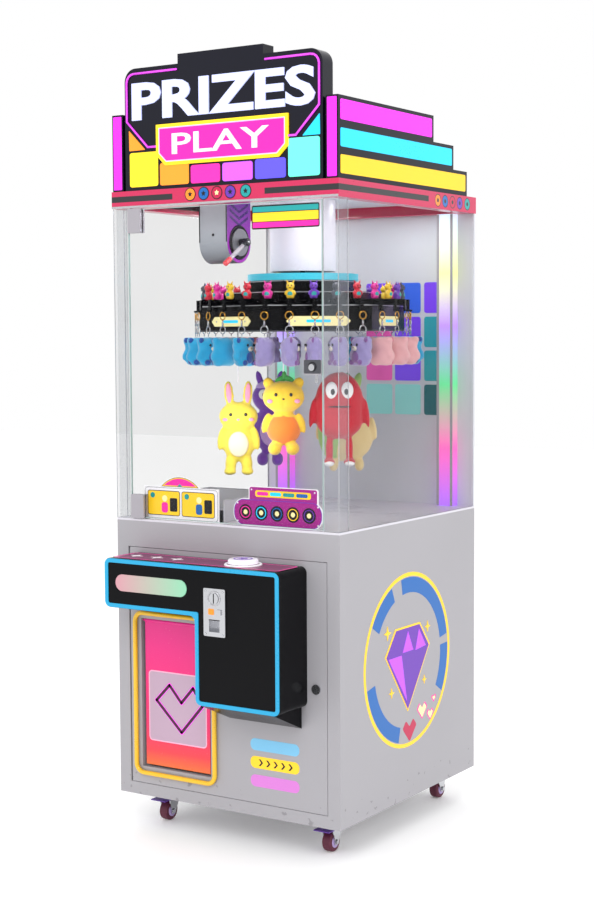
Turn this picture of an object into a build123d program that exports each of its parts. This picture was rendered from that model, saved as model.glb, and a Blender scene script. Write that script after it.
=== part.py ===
"""Prize carousel machine: a cabinet on casters, a glazed cabin with a turning drum of hanging
plush prizes, and a swinging striker. Millimetres, +Z up, front towards -Y, origin on the floor
under the middle of the cabinet."""
from build123d import *
import os

# ---- cabinet
WIDTH = 740.0
DEPTH = 775.0
BASE_TOP = 880.0
WALL = 16.0
SHEET = 2.0
DECK = 6.0
CABIN_TOP = 1755.0
PANE = 6.0
BACK_WALL = 8.0
GUARD_FRONT = 47.0
GUARD_SIDE = 47.5
GUARD_GAP = 0.5
HEADER_HEIGHT = 47.0
HEADER_OVERHANG = 3.0
HEADER_WALL = 40.0
ROOF = 16.0
LED_INSET = 53.0
LED_WIDTH = 53.0
LED_DEPTH = 32.5

# ---- signs on the roof
ARCH_MARGIN = 46.0
ARCH_HEIGHT = 335.0
ARCH_DEPTH = 50.0
ARCH_RADIUS = 37.0
TAB_HALF = 140.0
TAB_HEIGHT = 26.0
SIDE_SIGN_WIDTH = 37.0
STEP_HEIGHTS = (212.0, 139.0, 71.0)
STEP_ENDS = (515.5, 636.5, 721.5)

BOARD_SETBACK = 20.0
BOARD_THICK = 4.0
HOW_BOARD = (-287.0, -30.0, 979.0)
HOW_ARCH = (-162.0, 68.0, 30.0)
BADGE_FOOT = (20.0, 306.0, 960.0, 34.0)
BADGE_CROWN = (70.0, 292.0, 994.0, 8.0)

# ---- service door and what it carries
DOOR_MARGIN = 40.0
DOOR_BOTTOM = 131.0
DOOR_TOP = 805.0
DOOR_GAP = 1.5
PIN_RADIUS = 3.0
PIN_LENGTH = 20.0
FIT = 0.05
PRIZE_INSET = 38.0
PRIZE_WIDTH = 246.0
PRIZE_BOTTOM = 176.0
PRIZE_TOP = 607.0
LINER = 3.0
LINER_DEPTH = 35.5
FLAP_THICK = 4.0
FLAP_SIDE_GAP = 8.0
FLAP_SETBACK = 10.0
FLAP_DROP = 9.0
FLAP_BARREL = 5.0
FLAP_TOP_GAP = 1.0
FLAP_PIN_GRIP = 2.5
FLAP_PIN = 2.5
FRAME_TUBE = 6.5
FRAME_MARGIN = 20.0
FRAME_CORNER = 26.0
FRAME_STANDOFF = 0.1
CONSOLE_LEFT_INSET = 21.0
CONSOLE_RIGHT_INSET = 62.0
CONSOLE_TOP = 791.0
CONSOLE_DEPTH = 132.0
ARM_BOTTOM = 654.0
LEG_GAP = 44.0
LEG_FRONT_BOTTOM = 414.0
LEG_REAR_BOTTOM = 355.0
CONSOLE_WALL = 4.0
CONSOLE_CORNER = 18.0
TRIM_WIDTH = 11.0
TRIM_PROUD = 2.5
TRIM_INSET = 1.0
BAR_PLACE = (160.0, 66.0)
BAR_LENGTH = 242.0
BAR_HEIGHT = 46.0
COIN_PLACE = (67.0, 121.0)
COIN_WIDTH = 70.0
COIN_HEIGHT = 128.0
COIN_PLATE = 5.0
COIN_BODY_DEPTH = 60.0
COIN_BODY_MARGIN = 5.0
COIN_ROUND = 4.0
COIN_BOSS = (15.0, 3.0, 38.0)
COIN_SLOT = (3.2, 26.0, 30.0)
COIN_TRAY = (34.0, 30.0, 25.0)
COIN_TRAY_DROP = 52.0
RETURN_PLACE = (16.0, 2.0)
RETURN_GAP = 0.1
RETURN_PROUD = 1.0
RETURN_LENGTH = 16.0
RETURN_POCKET = 20.0
RETURN_SIZE = 14.0
RETURN_TRAVEL = 3.0
BUTTON_PLACE = (112.0, 66.0)
BUTTON_RADIUS = 41.0
BUTTON_STEM = 14.0
BUTTON_TRAVEL = 5.0
BUTTON_CLEAR = 1.0
BUTTON_CAP = 12.0
BUTTON_ROUND = 6.0
BUTTON_TAIL = 14.0
LOCK_INSET = 33.0
LOCK_HEIGHT = 466.0
LOCK_RADIUS = 11.0
LOCK_FLANGE = 13.5
LOCK_BOSS = 3.0
LOCK_FACE = 4.0
LOCK_CAM = 45.0
CAM_HALF = 5.0
CAM_THICK = 3.0
CAM_HEEL = 8.0
CAM_GAP = 1.0

# ---- glass door
GLASS_GAP = 4.0
HINGE_BLOCK = (45.0, 20.0, 67.0)
HINGE_INSET = 6.0
GLASS_EDGE = 4.0
GLASS_SETBACK = 1.5
PIN_FROM_CLAMP = 3.0
PIN_REACH = 7.0
PIN_HOLE = 8.0
GLASS_LOCK_INSET = 27.0
GLASS_LOCK_HEIGHT = 1316.0
GLASS_LOCK_RADIUS = 9.0
GLASS_LOCK_OUT = 12.0
GLASS_LOCK_CASE = (55.0, 38.0)
CASE_FRONT = 6.0
CASE_TRIM = 2.0
GLASS_CAM = 42.0
GLASS_CAM_HALF = 4.0
GLASS_CAM_HEEL = 7.0

# ---- inside the base
CHUTE_WALL = 2.0
CHUTE_MARGIN = 19.0
CHUTE_LENGTH = 342.5
CHUTE_SKIRT = 10.0
DECK_LIP = 20.0
CHUTE_FRONT_GAP = 4.0
CHUTE_FLOOR_FRONT = 165.0
CHUTE_FLOOR_BACK = 230.0
CASH_BOX = (200.0, 160.0, 160.0)
CASH_PLACE = (67.0, 47.5)
SUPPLY = (160.0, 100.0, 50.0)
SUPPLY_PLACE = (60.0, 60.0)
CONTROL = (200.0, 60.0, 150.0)
CONTROL_HEIGHT = 400.0
INLET = (48.0, 27.5, 28.0)
INLET_CENTRE = (250.0, 200.0)

# ---- carousel
AXIS = (6.0, 10.0)
HOOKS = 28
HOOK_REACH = 316.0
TIER_APOTHEMS = (135.0, 200.0, 260.0)
TIER_TOPS = (1555.0, 1522.0, 1484.0)
DRUM_BOTTOM = 1410.0
DRUM_WALL = 4.0
DRUM_TURN = 42.0
LIGHT_RING = (160.0, 138.0, 19.0)
COLUMN_RADIUS = 95.0
COLUMN_BOTTOM = 1582.0
COLUMN_WALL = 3.0
SHAFT_RADIUS = 8.0
MOTOR_RADIUS = 40.0
MOTOR_BOTTOM = 1640.0
MOTOR_CLEAR = 5.0
SHAFT_GRIP = 20.0
ARM_INNER = 235.0
ARM_SIZE = (14.0, 16.0)
LEG_RADIUS = 303.5
LEG_THICK = 5.0
NOSE_BOTTOM = 1466.0
NOSE_SIZE = 5.0
PEG_RADIUS_AT = 284.0
PEG_HEIGHT = 52.0
PEG_BODY = 34.0
PEG_BODY_RADIUS = 8.0
PEG_HEAD = 11.0
RING_RADIUS = 312.0
RING_OUTER = 12.0
RING_WIRE = 3.0
RING_LIFT = 6.0
LINK_WIDTH = 6.0
STUD_WIDTH = 3.0
LINK_LAP = 1.0
PLUSH_TOP = 1397.0
PLUSH_SIZE = (92.0, 54.0, 84.0)
PLUSH_RADIUS = 305.0
PLUSH_ROUND = 24.0
SOFT_GAP = 0.3
# x and y from the cabinet's middle, bottom, top, width, depth, edge radius
LARGE_PLUSH = {
    "plush_square": (-93.0, -179.0, 1002.0, 1276.0, 124.0, 60.0, 21.0),
    "plush_bear": (59.0, -176.0, 1063.0, 1303.0, 122.0, 84.0, 29.4),
    "plush_red": (169.0, -58.0, 1031.0, 1303.0, 184.0, 90.0, 31.5),
    "plush_green": (87.0, 116.0, 998.0, 1298.0, 190.0, 90.0, 31.5),
    "plush_purple": (-129.0, 35.0, 1012.0, 1303.0, 120.0, 90.0, 31.5),
}
LARGE_TURN = 33.0
LOOP_RADIUS = 2.0
LOOP_SEWN = 5.0

# ---- striker
STRIKER_FACE = -50.0
STRIKER_LENGTH = 94.0
STRIKER_RADIUS = 57.5
STRIKER_PIVOT = (-232.0, 1658.0)
STRIKER_WALL = 3.0
STRIKER_FLANGE = (38.0, 6.0)
STRIKER_BODY = (25.0, 75.0)
STRIKER_HUB = (11.0, 27.7)
STRIKER_SHAFT = (4.0, 18.0)
STRIKER_BORE = 20.0
STRIKER_REACH = 24.0
STRIKER_ROD = 6.0
STRIKER_TIP = (7.5, 30.0)
STRIKER_ARM = 120.0
STRIKER_DIP = 32.0

# ---- casters
CASTER_INSET = (93.0, 127.0, 85.0)
CASTER_RISE = 39.0
TRAIL = 25.0
WHEEL_RADIUS = 28.0
WHEEL_WIDTH = 27.0
AXLE_RADIUS = 4.0
KINGPIN = 5.0
PLATE = (62.0, 62.0, 4.0)
FORK_HEAD = (23.0, 9.7)
FORK_LEG = 3.0
LEG_SPACE = 16.0
WHEEL_ROUND = 5.0
AXLE_END = 6.0
FORK_TOP = (3.0, 14.0, 18.0)
FORK_NECK = (8.0, 10.0)
FORK_FOOT = (8.0, 8.0)
FORK_REAR = (17.0, 3.0)
PEDAL_AHEAD = 12.0
PEDAL_CLEAR = 10.0
PEDAL_BARREL = (4.5, 14.0)
PEDAL_NECK = (13.0, 12.0)
PEDAL_START = 9.0
PEDAL_PIN = 2.5
PEDAL_SIZE = (50.0, 29.0, 3.0)

HALF_W = WIDTH / 2
HALF_D = DEPTH / 2
FRONT = -HALF_D
BASE_BOTTOM = 2 * WHEEL_RADIUS + CASTER_RISE
PEDAL_HEIGHT = 2 * WHEEL_RADIUS + PEDAL_CLEAR
DOOR_SIDE = HALF_W - DOOR_MARGIN
PRIZE_LEFT = -DOOR_SIDE + PRIZE_INSET
PRIZE_RIGHT = PRIZE_LEFT + PRIZE_WIDTH
CHUTE_RIGHT = PRIZE_RIGHT + CHUTE_MARGIN
CHUTE_BACK = FRONT + CHUTE_LENGTH
CONSOLE_LEFT = -DOOR_SIDE + CONSOLE_LEFT_INSET
CONSOLE_RIGHT = DOOR_SIDE - CONSOLE_RIGHT_INSET
LEG_LEFT = PRIZE_RIGHT + LEG_GAP
BAR_CENTRE = (CONSOLE_LEFT + BAR_PLACE[0], CONSOLE_TOP - BAR_PLACE[1])
COIN_CENTRE = (LEG_LEFT + COIN_PLACE[0], CONSOLE_TOP - COIN_PLACE[1])
BUTTON_CENTRE = (LEG_LEFT + BUTTON_PLACE[0], FRONT - BUTTON_PLACE[1])
LOCK_CENTRE = (DOOR_SIDE - LOCK_INSET, LOCK_HEIGHT)
PANE_SIDE = HALF_W - GUARD_FRONT - GLASS_EDGE
GLASS_LOCK = (PANE_SIDE - GLASS_LOCK_INSET, GLASS_LOCK_HEIGHT)
ARCH_HALF = HALF_W - ARCH_MARGIN
CASTER_X = HALF_W - CASTER_INSET[0]
CASTER_FRONT = FRONT + CASTER_INSET[1]
CASTER_REAR = HALF_D - CASTER_INSET[2]
GLASS_BOTTOM = BASE_TOP + DECK
HEADER_TOP = CABIN_TOP + HEADER_HEIGHT
CEILING = HEADER_TOP - ROOF
INNER_FRONT = FRONT + WALL
CONSOLE_FRONT = FRONT - CONSOLE_DEPTH

os.makedirs("parts", exist_ok=True)


def save(node, solids):
    """Write one node; a list becomes a group of separate solids."""
    shape = Compound(children=list(solids)) if isinstance(solids, list) else solids
    export_step(shape, "parts/" + node + ".step")


def block(x0, x1, y0, y1, z0, z1):
    """A box given by its two corners."""
    return Pos((x0 + x1) / 2, (y0 + y1) / 2, (z0 + z1) / 2) * Box(x1 - x0, y1 - y0, z1 - z0)


def rod_z(radius, x, y, z0, z1):
    return Pos(x, y, (z0 + z1) / 2) * Cylinder(radius, z1 - z0)


def rod_y(radius, x, z, y0, y1):
    return Pos(x, (y0 + y1) / 2, z) * Rot(90, 0, 0) * Cylinder(radius, y1 - y0)


def rod_x(radius, y, z, x0, x1):
    return Pos((x0 + x1) / 2, y, z) * Rot(0, 90, 0) * Cylinder(radius, x1 - x0)


def front_plate(sketch, y_front, thick):
    """A sketch drawn as x, z and thickened from y_front towards the back."""
    plane = Plane(origin=(0, y_front + thick, 0), x_dir=(1, 0, 0), z_dir=(0, -1, 0))
    return extrude(plane * sketch, thick)


def side_plate(points, x0, x1):
    """A y, z outline thickened along X."""
    plane = Plane(origin=(x0, 0, 0), x_dir=(0, 1, 0), z_dir=(1, 0, 0))
    return extrude(plane * make_face(Polyline(*points, close=True)), x1 - x0)


def pan(outer, open_side):
    """A folded sheet tray: a block given by its corners, hollowed out from one open side."""
    sides = ("-x", "+x", "-y", "+y", "-z", "+z")
    moves = [0 if side == open_side else (SHEET if side[0] == "-" else -SHEET) for side in sides]
    return block(*outer) - block(*[edge + move for edge, move in zip(outer, moves)])


def turned(shape, degrees):
    """Turn a shape about the carousel's axis."""
    return Pos(AXIS[0], AXIS[1], 0) * Rot(0, 0, degrees) * shape


# ---- base cabinet
def base_panels():
    inner = HALF_W - WALL
    sides = [pan((x0, x1, FRONT, HALF_D, BASE_BOTTOM, BASE_TOP), open_side)
             for x0, x1, open_side in ((-HALF_W, -inner, "+x"), (inner, HALF_W, "-x"))]
    save("base_side_panels", sides)
    floor = (-inner, inner, INNER_FRONT, HALF_D - WALL, BASE_BOTTOM, BASE_BOTTOM + WALL)
    save("base_floor", pan(floor, "+z"))
    back = pan((-inner, inner, HALF_D - WALL, HALF_D, BASE_BOTTOM, BASE_TOP), "-y")
    x, z = INLET_CENTRE
    inlet = block(x - INLET[0] / 2, x + INLET[0] / 2, HALF_D - INLET[1], HALF_D,
                  z - INLET[2] / 2, z + INLET[2] / 2)
    save("base_back", [back - inlet, inlet])


def front_frame():
    """The four bars round the service door, with the two hinge pins welded in."""
    inner = HALF_W - WALL
    frame = pan((-inner, inner, FRONT, INNER_FRONT, BASE_BOTTOM, BASE_TOP), "+y")
    side = DOOR_SIDE + DOOR_GAP
    low, high = DOOR_BOTTOM - DOOR_GAP, DOOR_TOP + DOOR_GAP
    frame += block(-side - SHEET, side + SHEET, FRONT, INNER_FRONT, low - SHEET, high + SHEET)
    frame -= block(-side, side, FRONT, INNER_FRONT, low, high)
    x, y = hinge_axis()
    frame += rod_z(PIN_RADIUS, x, y, DOOR_TOP - PIN_LENGTH, DOOR_TOP + DOOR_GAP)
    frame += rod_z(PIN_RADIUS, x, y, DOOR_BOTTOM - DOOR_GAP, DOOR_BOTTOM + PIN_LENGTH)
    save("front_frame", frame)


def hinge_axis():
    return -DOOR_SIDE + WALL / 2, FRONT + WALL / 2


def deck_panel():
    deck = block(-HALF_W, HALF_W, FRONT, HALF_D, BASE_TOP, GLASS_BOTTOM)
    deck -= block(PRIZE_LEFT + CHUTE_WALL, CHUTE_RIGHT - CHUTE_WALL, INNER_FRONT + CHUTE_FRONT_GAP + DECK_LIP,
                  CHUTE_BACK - CHUTE_WALL, BASE_TOP, GLASS_BOTTOM)
    x, y = glass_axis()
    deck -= rod_z(PIN_RADIUS + FIT, x, y, BASE_TOP, GLASS_BOTTOM)
    save("deck_panel", deck)


def inside_base():
    y0 = FRONT + LINER_DEPTH + CHUTE_FRONT_GAP
    low = CHUTE_FLOOR_FRONT - CHUTE_SKIRT
    walls = block(PRIZE_LEFT, CHUTE_RIGHT, y0, CHUTE_BACK, low, BASE_TOP)
    walls -= block(PRIZE_LEFT + CHUTE_WALL, CHUTE_RIGHT - CHUTE_WALL, y0, CHUTE_BACK - CHUTE_WALL,
                   low, BASE_TOP)
    slope = side_plate([(y0, CHUTE_FLOOR_FRONT - CHUTE_WALL),
                        (CHUTE_BACK, CHUTE_FLOOR_BACK - CHUTE_WALL),
                        (CHUTE_BACK, CHUTE_FLOOR_BACK), (y0, CHUTE_FLOOR_FRONT)],
                       PRIZE_LEFT, CHUTE_RIGHT)
    save("prize_chute", walls + slope)
    floor = BASE_BOTTOM + SHEET
    x, y = CHUTE_RIGHT + CASH_PLACE[0], FRONT + CASH_PLACE[1]
    cash = (x, x + CASH_BOX[0], y, y + CASH_BOX[1], floor, floor + CASH_BOX[2])
    save("cash_box", pan(cash, "+z"))
    x, y = SUPPLY_PLACE
    save("power_supply", block(x, x + SUPPLY[0], y, y + SUPPLY[1], floor, floor + SUPPLY[2]))
    back = HALF_D - SHEET
    save("control_box", block(-CONTROL[0] / 2, CONTROL[0] / 2, back - CONTROL[1], back,
                              CONTROL_HEIGHT, CONTROL_HEIGHT + CONTROL[2]))


# ---- cabin
def glass_axis():
    return -PANE_SIDE + HINGE_INSET + PIN_FROM_CLAMP, FRONT + PANE / 2 + GLASS_SETBACK


def cabin_walls():
    guards = []
    panes = []
    columns = []
    back = HALF_D - BACK_WALL
    for side in (-1, 1):
        xs = sorted((side * (HALF_W - GUARD_FRONT), side * HALF_W))
        thin = sorted((side * (HALF_W - PANE), side * HALF_W))
        guard = block(xs[0], xs[1], FRONT, FRONT + PANE, GLASS_BOTTOM, CABIN_TOP)
        guard += block(thin[0], thin[1], FRONT, FRONT + GUARD_SIDE, GLASS_BOTTOM, CABIN_TOP)
        guards.append(guard)
        panes.append(block(thin[0], thin[1], FRONT + GUARD_SIDE + GUARD_GAP, back,
                           GLASS_BOTTOM, CABIN_TOP))
        led = sorted((side * (HALF_W - LED_INSET), side * (HALF_W - LED_INSET - LED_WIDTH)))
        columns.append(block(led[0], led[1], back - LED_DEPTH, back, GLASS_BOTTOM, CABIN_TOP))
    save("corner_guards", guards)
    save("side_glass", panes)
    save("led_columns", columns)
    save("back_wall", block(-HALF_W, HALF_W, back, HALF_D, GLASS_BOTTOM, CABIN_TOP))


def header():
    x = HALF_W + HEADER_OVERHANG
    y0 = FRONT - HEADER_OVERHANG
    ring = block(-x, x, y0, HALF_D, CABIN_TOP, HEADER_TOP)
    ring -= block(-x + HEADER_WALL, x - HEADER_WALL, y0 + HEADER_WALL, HALF_D - HEADER_WALL,
                  CABIN_TOP, HEADER_TOP)
    ring -= block(-x + SHEET, x - SHEET, y0 + SHEET, HALF_D - SHEET,
                  CABIN_TOP + SHEET, HEADER_TOP - SHEET)
    gx, gy = glass_axis()
    ring -= rod_z(PIN_RADIUS + FIT, gx, gy, CABIN_TOP, CABIN_TOP + PIN_HOLE)
    save("header_frame", ring)
    roof = (-x + HEADER_WALL, x - HEADER_WALL, y0 + HEADER_WALL, HALF_D - HEADER_WALL,
            CEILING, HEADER_TOP)
    save("roof_panel", pan(roof, "+z"))


def roof_signs():
    arch = Pos(0, HEADER_TOP + ARCH_HEIGHT / 2) * Rectangle(2 * ARCH_HALF, ARCH_HEIGHT)
    arch = fillet(arch.vertices().group_by(Axis.Y)[-1], ARCH_RADIUS)
    box = front_plate(arch, FRONT, ARCH_DEPTH)
    box += block(-TAB_HALF, TAB_HALF, FRONT, FRONT + ARCH_DEPTH, HEADER_TOP + ARCH_HEIGHT,
                 HEADER_TOP + ARCH_HEIGHT + TAB_HEIGHT)
    save("marquee_box", box)
    outline = [(FRONT, HEADER_TOP), (FRONT, HEADER_TOP + STEP_HEIGHTS[0])]
    for index, (height, end) in enumerate(zip(STEP_HEIGHTS, STEP_ENDS)):
        outline.append((FRONT + end, HEADER_TOP + height))
        lower = STEP_HEIGHTS[index + 1] if index + 1 < len(STEP_HEIGHTS) else 0
        outline.append((FRONT + end, HEADER_TOP + lower))
    save("side_light_boxes", [side_plate(outline, -HALF_W, -HALF_W + SIDE_SIGN_WIDTH),
                              side_plate(outline, HALF_W - SIDE_SIGN_WIDTH, HALF_W)])


def rounded_board(left, right, top, corner):
    """A sheet standing on the deck, its four corners rounded."""
    y0 = FRONT + BOARD_SETBACK
    board = block(left, right, y0, y0 + BOARD_THICK, GLASS_BOTTOM, top)
    return fillet(board.edges().filter_by(Axis.Y), corner)


def sign_boards():
    y0 = FRONT + BOARD_SETBACK
    y1 = y0 + BOARD_THICK
    left, right, top = HOW_BOARD
    middle, half, rise = HOW_ARCH
    radius = (half ** 2 + rise ** 2) / (2 * rise)
    arch = rod_y(radius, middle, top + rise - radius, y0, y1)
    arch -= block(middle - radius, middle + radius, y0, y1, top - 2 * radius, top)
    how = block(left, right, y0, y1, GLASS_BOTTOM, top) + arch
    save("sign_boards", [how, rounded_board(*BADGE_FOOT) + rounded_board(*BADGE_CROWN)])


# ---- service door
def service_door():
    x, y = hinge_axis()
    door = block(x, DOOR_SIDE, FRONT, INNER_FRONT, DOOR_BOTTOM, DOOR_TOP)
    door -= block(x + WALL / 2 + SHEET, DOOR_SIDE - SHEET, FRONT + SHEET, INNER_FRONT,
                  DOOR_BOTTOM + SHEET, DOOR_TOP - SHEET)
    door += rod_z(WALL / 2, x, y, DOOR_BOTTOM, DOOR_TOP)
    for z0, z1 in ((DOOR_TOP - PIN_LENGTH - CAM_GAP, DOOR_TOP),
                   (DOOR_BOTTOM, DOOR_BOTTOM + PIN_LENGTH + CAM_GAP)):
        door -= rod_z(PIN_RADIUS + FIT, x, y, z0, z1)
    back = FRONT + LINER_DEPTH
    door += block(PRIZE_LEFT, PRIZE_RIGHT, FRONT, back, PRIZE_BOTTOM, PRIZE_TOP)
    door -= block(PRIZE_LEFT + LINER, PRIZE_RIGHT - LINER, FRONT, back,
                  PRIZE_BOTTOM + LINER, PRIZE_TOP - LINER)
    fy, fz = flap_axis()
    door -= rod_x(FLAP_PIN + FIT, fy, fz, PRIZE_LEFT, PRIZE_RIGHT)
    lx, lz = LOCK_CENTRE
    door += rod_y(LOCK_RADIUS + LOCK_BOSS, lx, lz, FRONT, INNER_FRONT)
    door -= rod_y(LOCK_RADIUS + FIT, lx, lz, FRONT, INNER_FRONT)
    save("service_door_panel", door)
    cam = INNER_FRONT + CAM_GAP
    lock = rod_y(LOCK_RADIUS, lx, lz, FRONT - SOFT_GAP, cam)
    lock += rod_y(LOCK_FLANGE, lx, lz, FRONT - SOFT_GAP - LOCK_FACE, FRONT - SOFT_GAP)
    lock += block(lx - CAM_HALF, lx + CAM_HALF, cam, cam + CAM_THICK, lz - LOCK_CAM, lz + CAM_HEEL)
    save("service_lock", lock)


def prize_frame():
    x0, x1 = PRIZE_LEFT - FRAME_MARGIN + FRAME_TUBE, PRIZE_RIGHT + FRAME_MARGIN - FRAME_TUBE
    z0, z1 = PRIZE_BOTTOM - FRAME_MARGIN + FRAME_TUBE, PRIZE_TOP + FRAME_MARGIN - FRAME_TUBE
    plane = Plane(origin=((x0 + x1) / 2, FRONT - FRAME_TUBE - FRAME_STANDOFF, (z0 + z1) / 2),
                  x_dir=(1, 0, 0), z_dir=(0, -1, 0))
    path = (plane * RectangleRounded(x1 - x0, z1 - z0, FRAME_CORNER)).face().outer_wire()
    start = Plane(origin=path @ 0, z_dir=path % 0)
    save("prize_frame", sweep(start * Circle(FRAME_TUBE), path=path))


def flap_axis():
    return FRONT + FLAP_SETBACK, PRIZE_TOP - LINER - FLAP_BARREL - FLAP_TOP_GAP


def prize_flap():
    y, z = flap_axis()
    x0, x1 = PRIZE_LEFT + LINER, PRIZE_RIGHT - LINER
    gap = FLAP_SIDE_GAP
    flap = block(x0 + gap, x1 - gap, y - FLAP_THICK / 2, y + FLAP_THICK / 2, PRIZE_BOTTOM + FLAP_DROP, z)
    flap += rod_x(FLAP_BARREL, y, z, x0 + gap, x1 - gap)
    flap += rod_x(FLAP_PIN, y, z, x0 - FLAP_PIN_GRIP, x1 + FLAP_PIN_GRIP)
    save("prize_flap", flap)


def console_outline(inset):
    """The console's front outline, x and z, drawn in by an inset."""
    points = [(CONSOLE_LEFT + inset, ARM_BOTTOM + inset), (CONSOLE_LEFT + inset, CONSOLE_TOP - inset),
              (CONSOLE_RIGHT - inset, CONSOLE_TOP - inset), (CONSOLE_RIGHT - inset, LEG_FRONT_BOTTOM + inset),
              (LEG_LEFT + inset, LEG_FRONT_BOTTOM + inset), (LEG_LEFT + inset, ARM_BOTTOM + inset)]
    face = make_face(Polyline(*points, close=True))
    return fillet(face.vertices(), max(CONSOLE_CORNER - inset, 2))


def console():
    shell = front_plate(console_outline(0), CONSOLE_FRONT, CONSOLE_DEPTH)
    wedge_top = LEG_FRONT_BOTTOM + CONSOLE_CORNER
    shell += side_plate([(CONSOLE_FRONT, LEG_FRONT_BOTTOM), (FRONT, LEG_REAR_BOTTOM),
                         (FRONT, wedge_top), (CONSOLE_FRONT, wedge_top)],
                        LEG_LEFT + CONSOLE_CORNER, CONSOLE_RIGHT - CONSOLE_CORNER)
    shell -= front_plate(console_outline(CONSOLE_WALL), CONSOLE_FRONT + CONSOLE_WALL,
                         CONSOLE_DEPTH - CONSOLE_WALL)
    cx, cz = COIN_CENTRE
    body_w, body_h = COIN_WIDTH / 2 - COIN_BODY_MARGIN, COIN_HEIGHT / 2 - COIN_BODY_MARGIN
    body = block(cx - body_w, cx + body_w, CONSOLE_FRONT, CONSOLE_FRONT + COIN_BODY_DEPTH,
                 cz - body_h, cz + body_h)
    shell -= body
    bx, by = BUTTON_CENTRE
    shell -= rod_z(BUTTON_STEM + FIT, bx, by, CONSOLE_TOP - CONSOLE_WALL, CONSOLE_TOP)
    save("console_shell", shell)
    band = console_outline(TRIM_INSET) - console_outline(TRIM_INSET + TRIM_WIDTH)
    save("console_trim", front_plate(band, CONSOLE_FRONT - TRIM_PROUD, TRIM_PROUD))
    bar = Pos(*BAR_CENTRE) * SlotOverall(BAR_LENGTH, BAR_HEIGHT)
    save("light_bar", front_plate(bar, CONSOLE_FRONT - TRIM_PROUD, TRIM_PROUD))
    coin_set(body, cx, cz)
    under = CONSOLE_TOP + BUTTON_TRAVEL + BUTTON_CLEAR
    button = rod_z(BUTTON_STEM, bx, by, CONSOLE_TOP - BUTTON_TAIL, under + BUTTON_CLEAR)
    cap = rod_z(BUTTON_RADIUS, bx, by, under, under + BUTTON_CAP)
    save("play_button", button + fillet(cap.edges().group_by(Axis.Z)[-1], BUTTON_ROUND))


def coin_set(body, cx, cz):
    """The coin acceptor with its entry slot and return button."""
    face = CONSOLE_FRONT - COIN_PLATE
    plate = block(cx - COIN_WIDTH / 2, cx + COIN_WIDTH / 2, face, CONSOLE_FRONT,
                  cz - COIN_HEIGHT / 2, cz + COIN_HEIGHT / 2)
    plate = fillet(plate.edges().filter_by(Axis.Y), COIN_ROUND)
    boss_radius, boss_depth, boss_rise = COIN_BOSS
    plate += rod_y(boss_radius, cx, cz + boss_rise, face - boss_depth, face)
    plate += body
    width, height, depth = COIN_SLOT
    plate -= block(cx - width / 2, cx + width / 2, face - boss_depth, face + depth,
                   cz + boss_rise - height / 2, cz + boss_rise + height / 2)
    half = RETURN_SIZE / 2
    hole = half + RETURN_GAP
    rx, rz = cx + RETURN_PLACE[0], cz + RETURN_PLACE[1]
    plate -= block(rx - hole, rx + hole, face, face + RETURN_POCKET, rz - hole, rz + hole)
    width, height, depth = COIN_TRAY
    low = cz - COIN_TRAY_DROP
    plate -= block(cx - width / 2, cx + width / 2, face, face + depth, low, low + height)
    save("coin_acceptor", plate)
    out = face - RETURN_TRAVEL - RETURN_PROUD
    save("coin_return", block(rx - half, rx + half, out, out + RETURN_LENGTH, rz - half, rz + half))


# ---- glass door
def glass_door():
    y0 = FRONT + GLASS_SETBACK
    y1 = y0 + PANE
    z0, z1 = GLASS_BOTTOM + GLASS_GAP, CABIN_TOP - GLASS_GAP
    pane = block(-PANE_SIDE, PANE_SIDE, y0, y1, z0, z1)
    lx, lz = GLASS_LOCK
    gx, gy = glass_axis()
    wide, deep, tall = HINGE_BLOCK
    blocks = []
    lip = GLASS_GAP / 2
    for bottom, pin0, pin1 in ((z0 - lip, BASE_TOP, z0 - lip),
                               (z1 + lip - tall, z1 + lip, CABIN_TOP + PIN_REACH)):
        clamp = block(gx - HINGE_INSET, gx - HINGE_INSET + wide, gy - deep / 2, gy + deep / 2,
                      bottom, bottom + tall)
        blocks.append(clamp - pane + rod_z(PIN_RADIUS, gx, gy, pin0, pin1))
    case_w, case_h = GLASS_LOCK_CASE
    case = block(lx - case_w / 2, lx + case_w / 2 - CASE_TRIM, y0 - CASE_FRONT, y1 + CASE_FRONT,
                 lz - case_h / 2, lz + case_h / 2)
    hole = rod_y(GLASS_LOCK_RADIUS + FIT, lx, lz, y0 - CASE_FRONT, y1 + CASE_FRONT)
    save("glass_pane", pane - hole)
    save("glass_fittings", blocks + [case - pane - hole])
    cam = y1 + CASE_FRONT + CAM_GAP
    lock = rod_y(GLASS_LOCK_RADIUS, lx, lz, y0 - GLASS_LOCK_OUT, cam)
    lock += block(lx - GLASS_CAM_HALF, lx + GLASS_CAM_HALF, cam, cam + CAM_THICK,
                  lz - GLASS_CAM, lz + GLASS_CAM_HEEL)
    save("glass_lock", lock)


# ---- carousel
def hexagon(apothem, z0, z1):
    prism = Pos(0, 0, z0) * extrude(RegularPolygon(apothem, 6, major_radius=False), z1 - z0)
    return turned(prism, DRUM_TURN)


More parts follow.
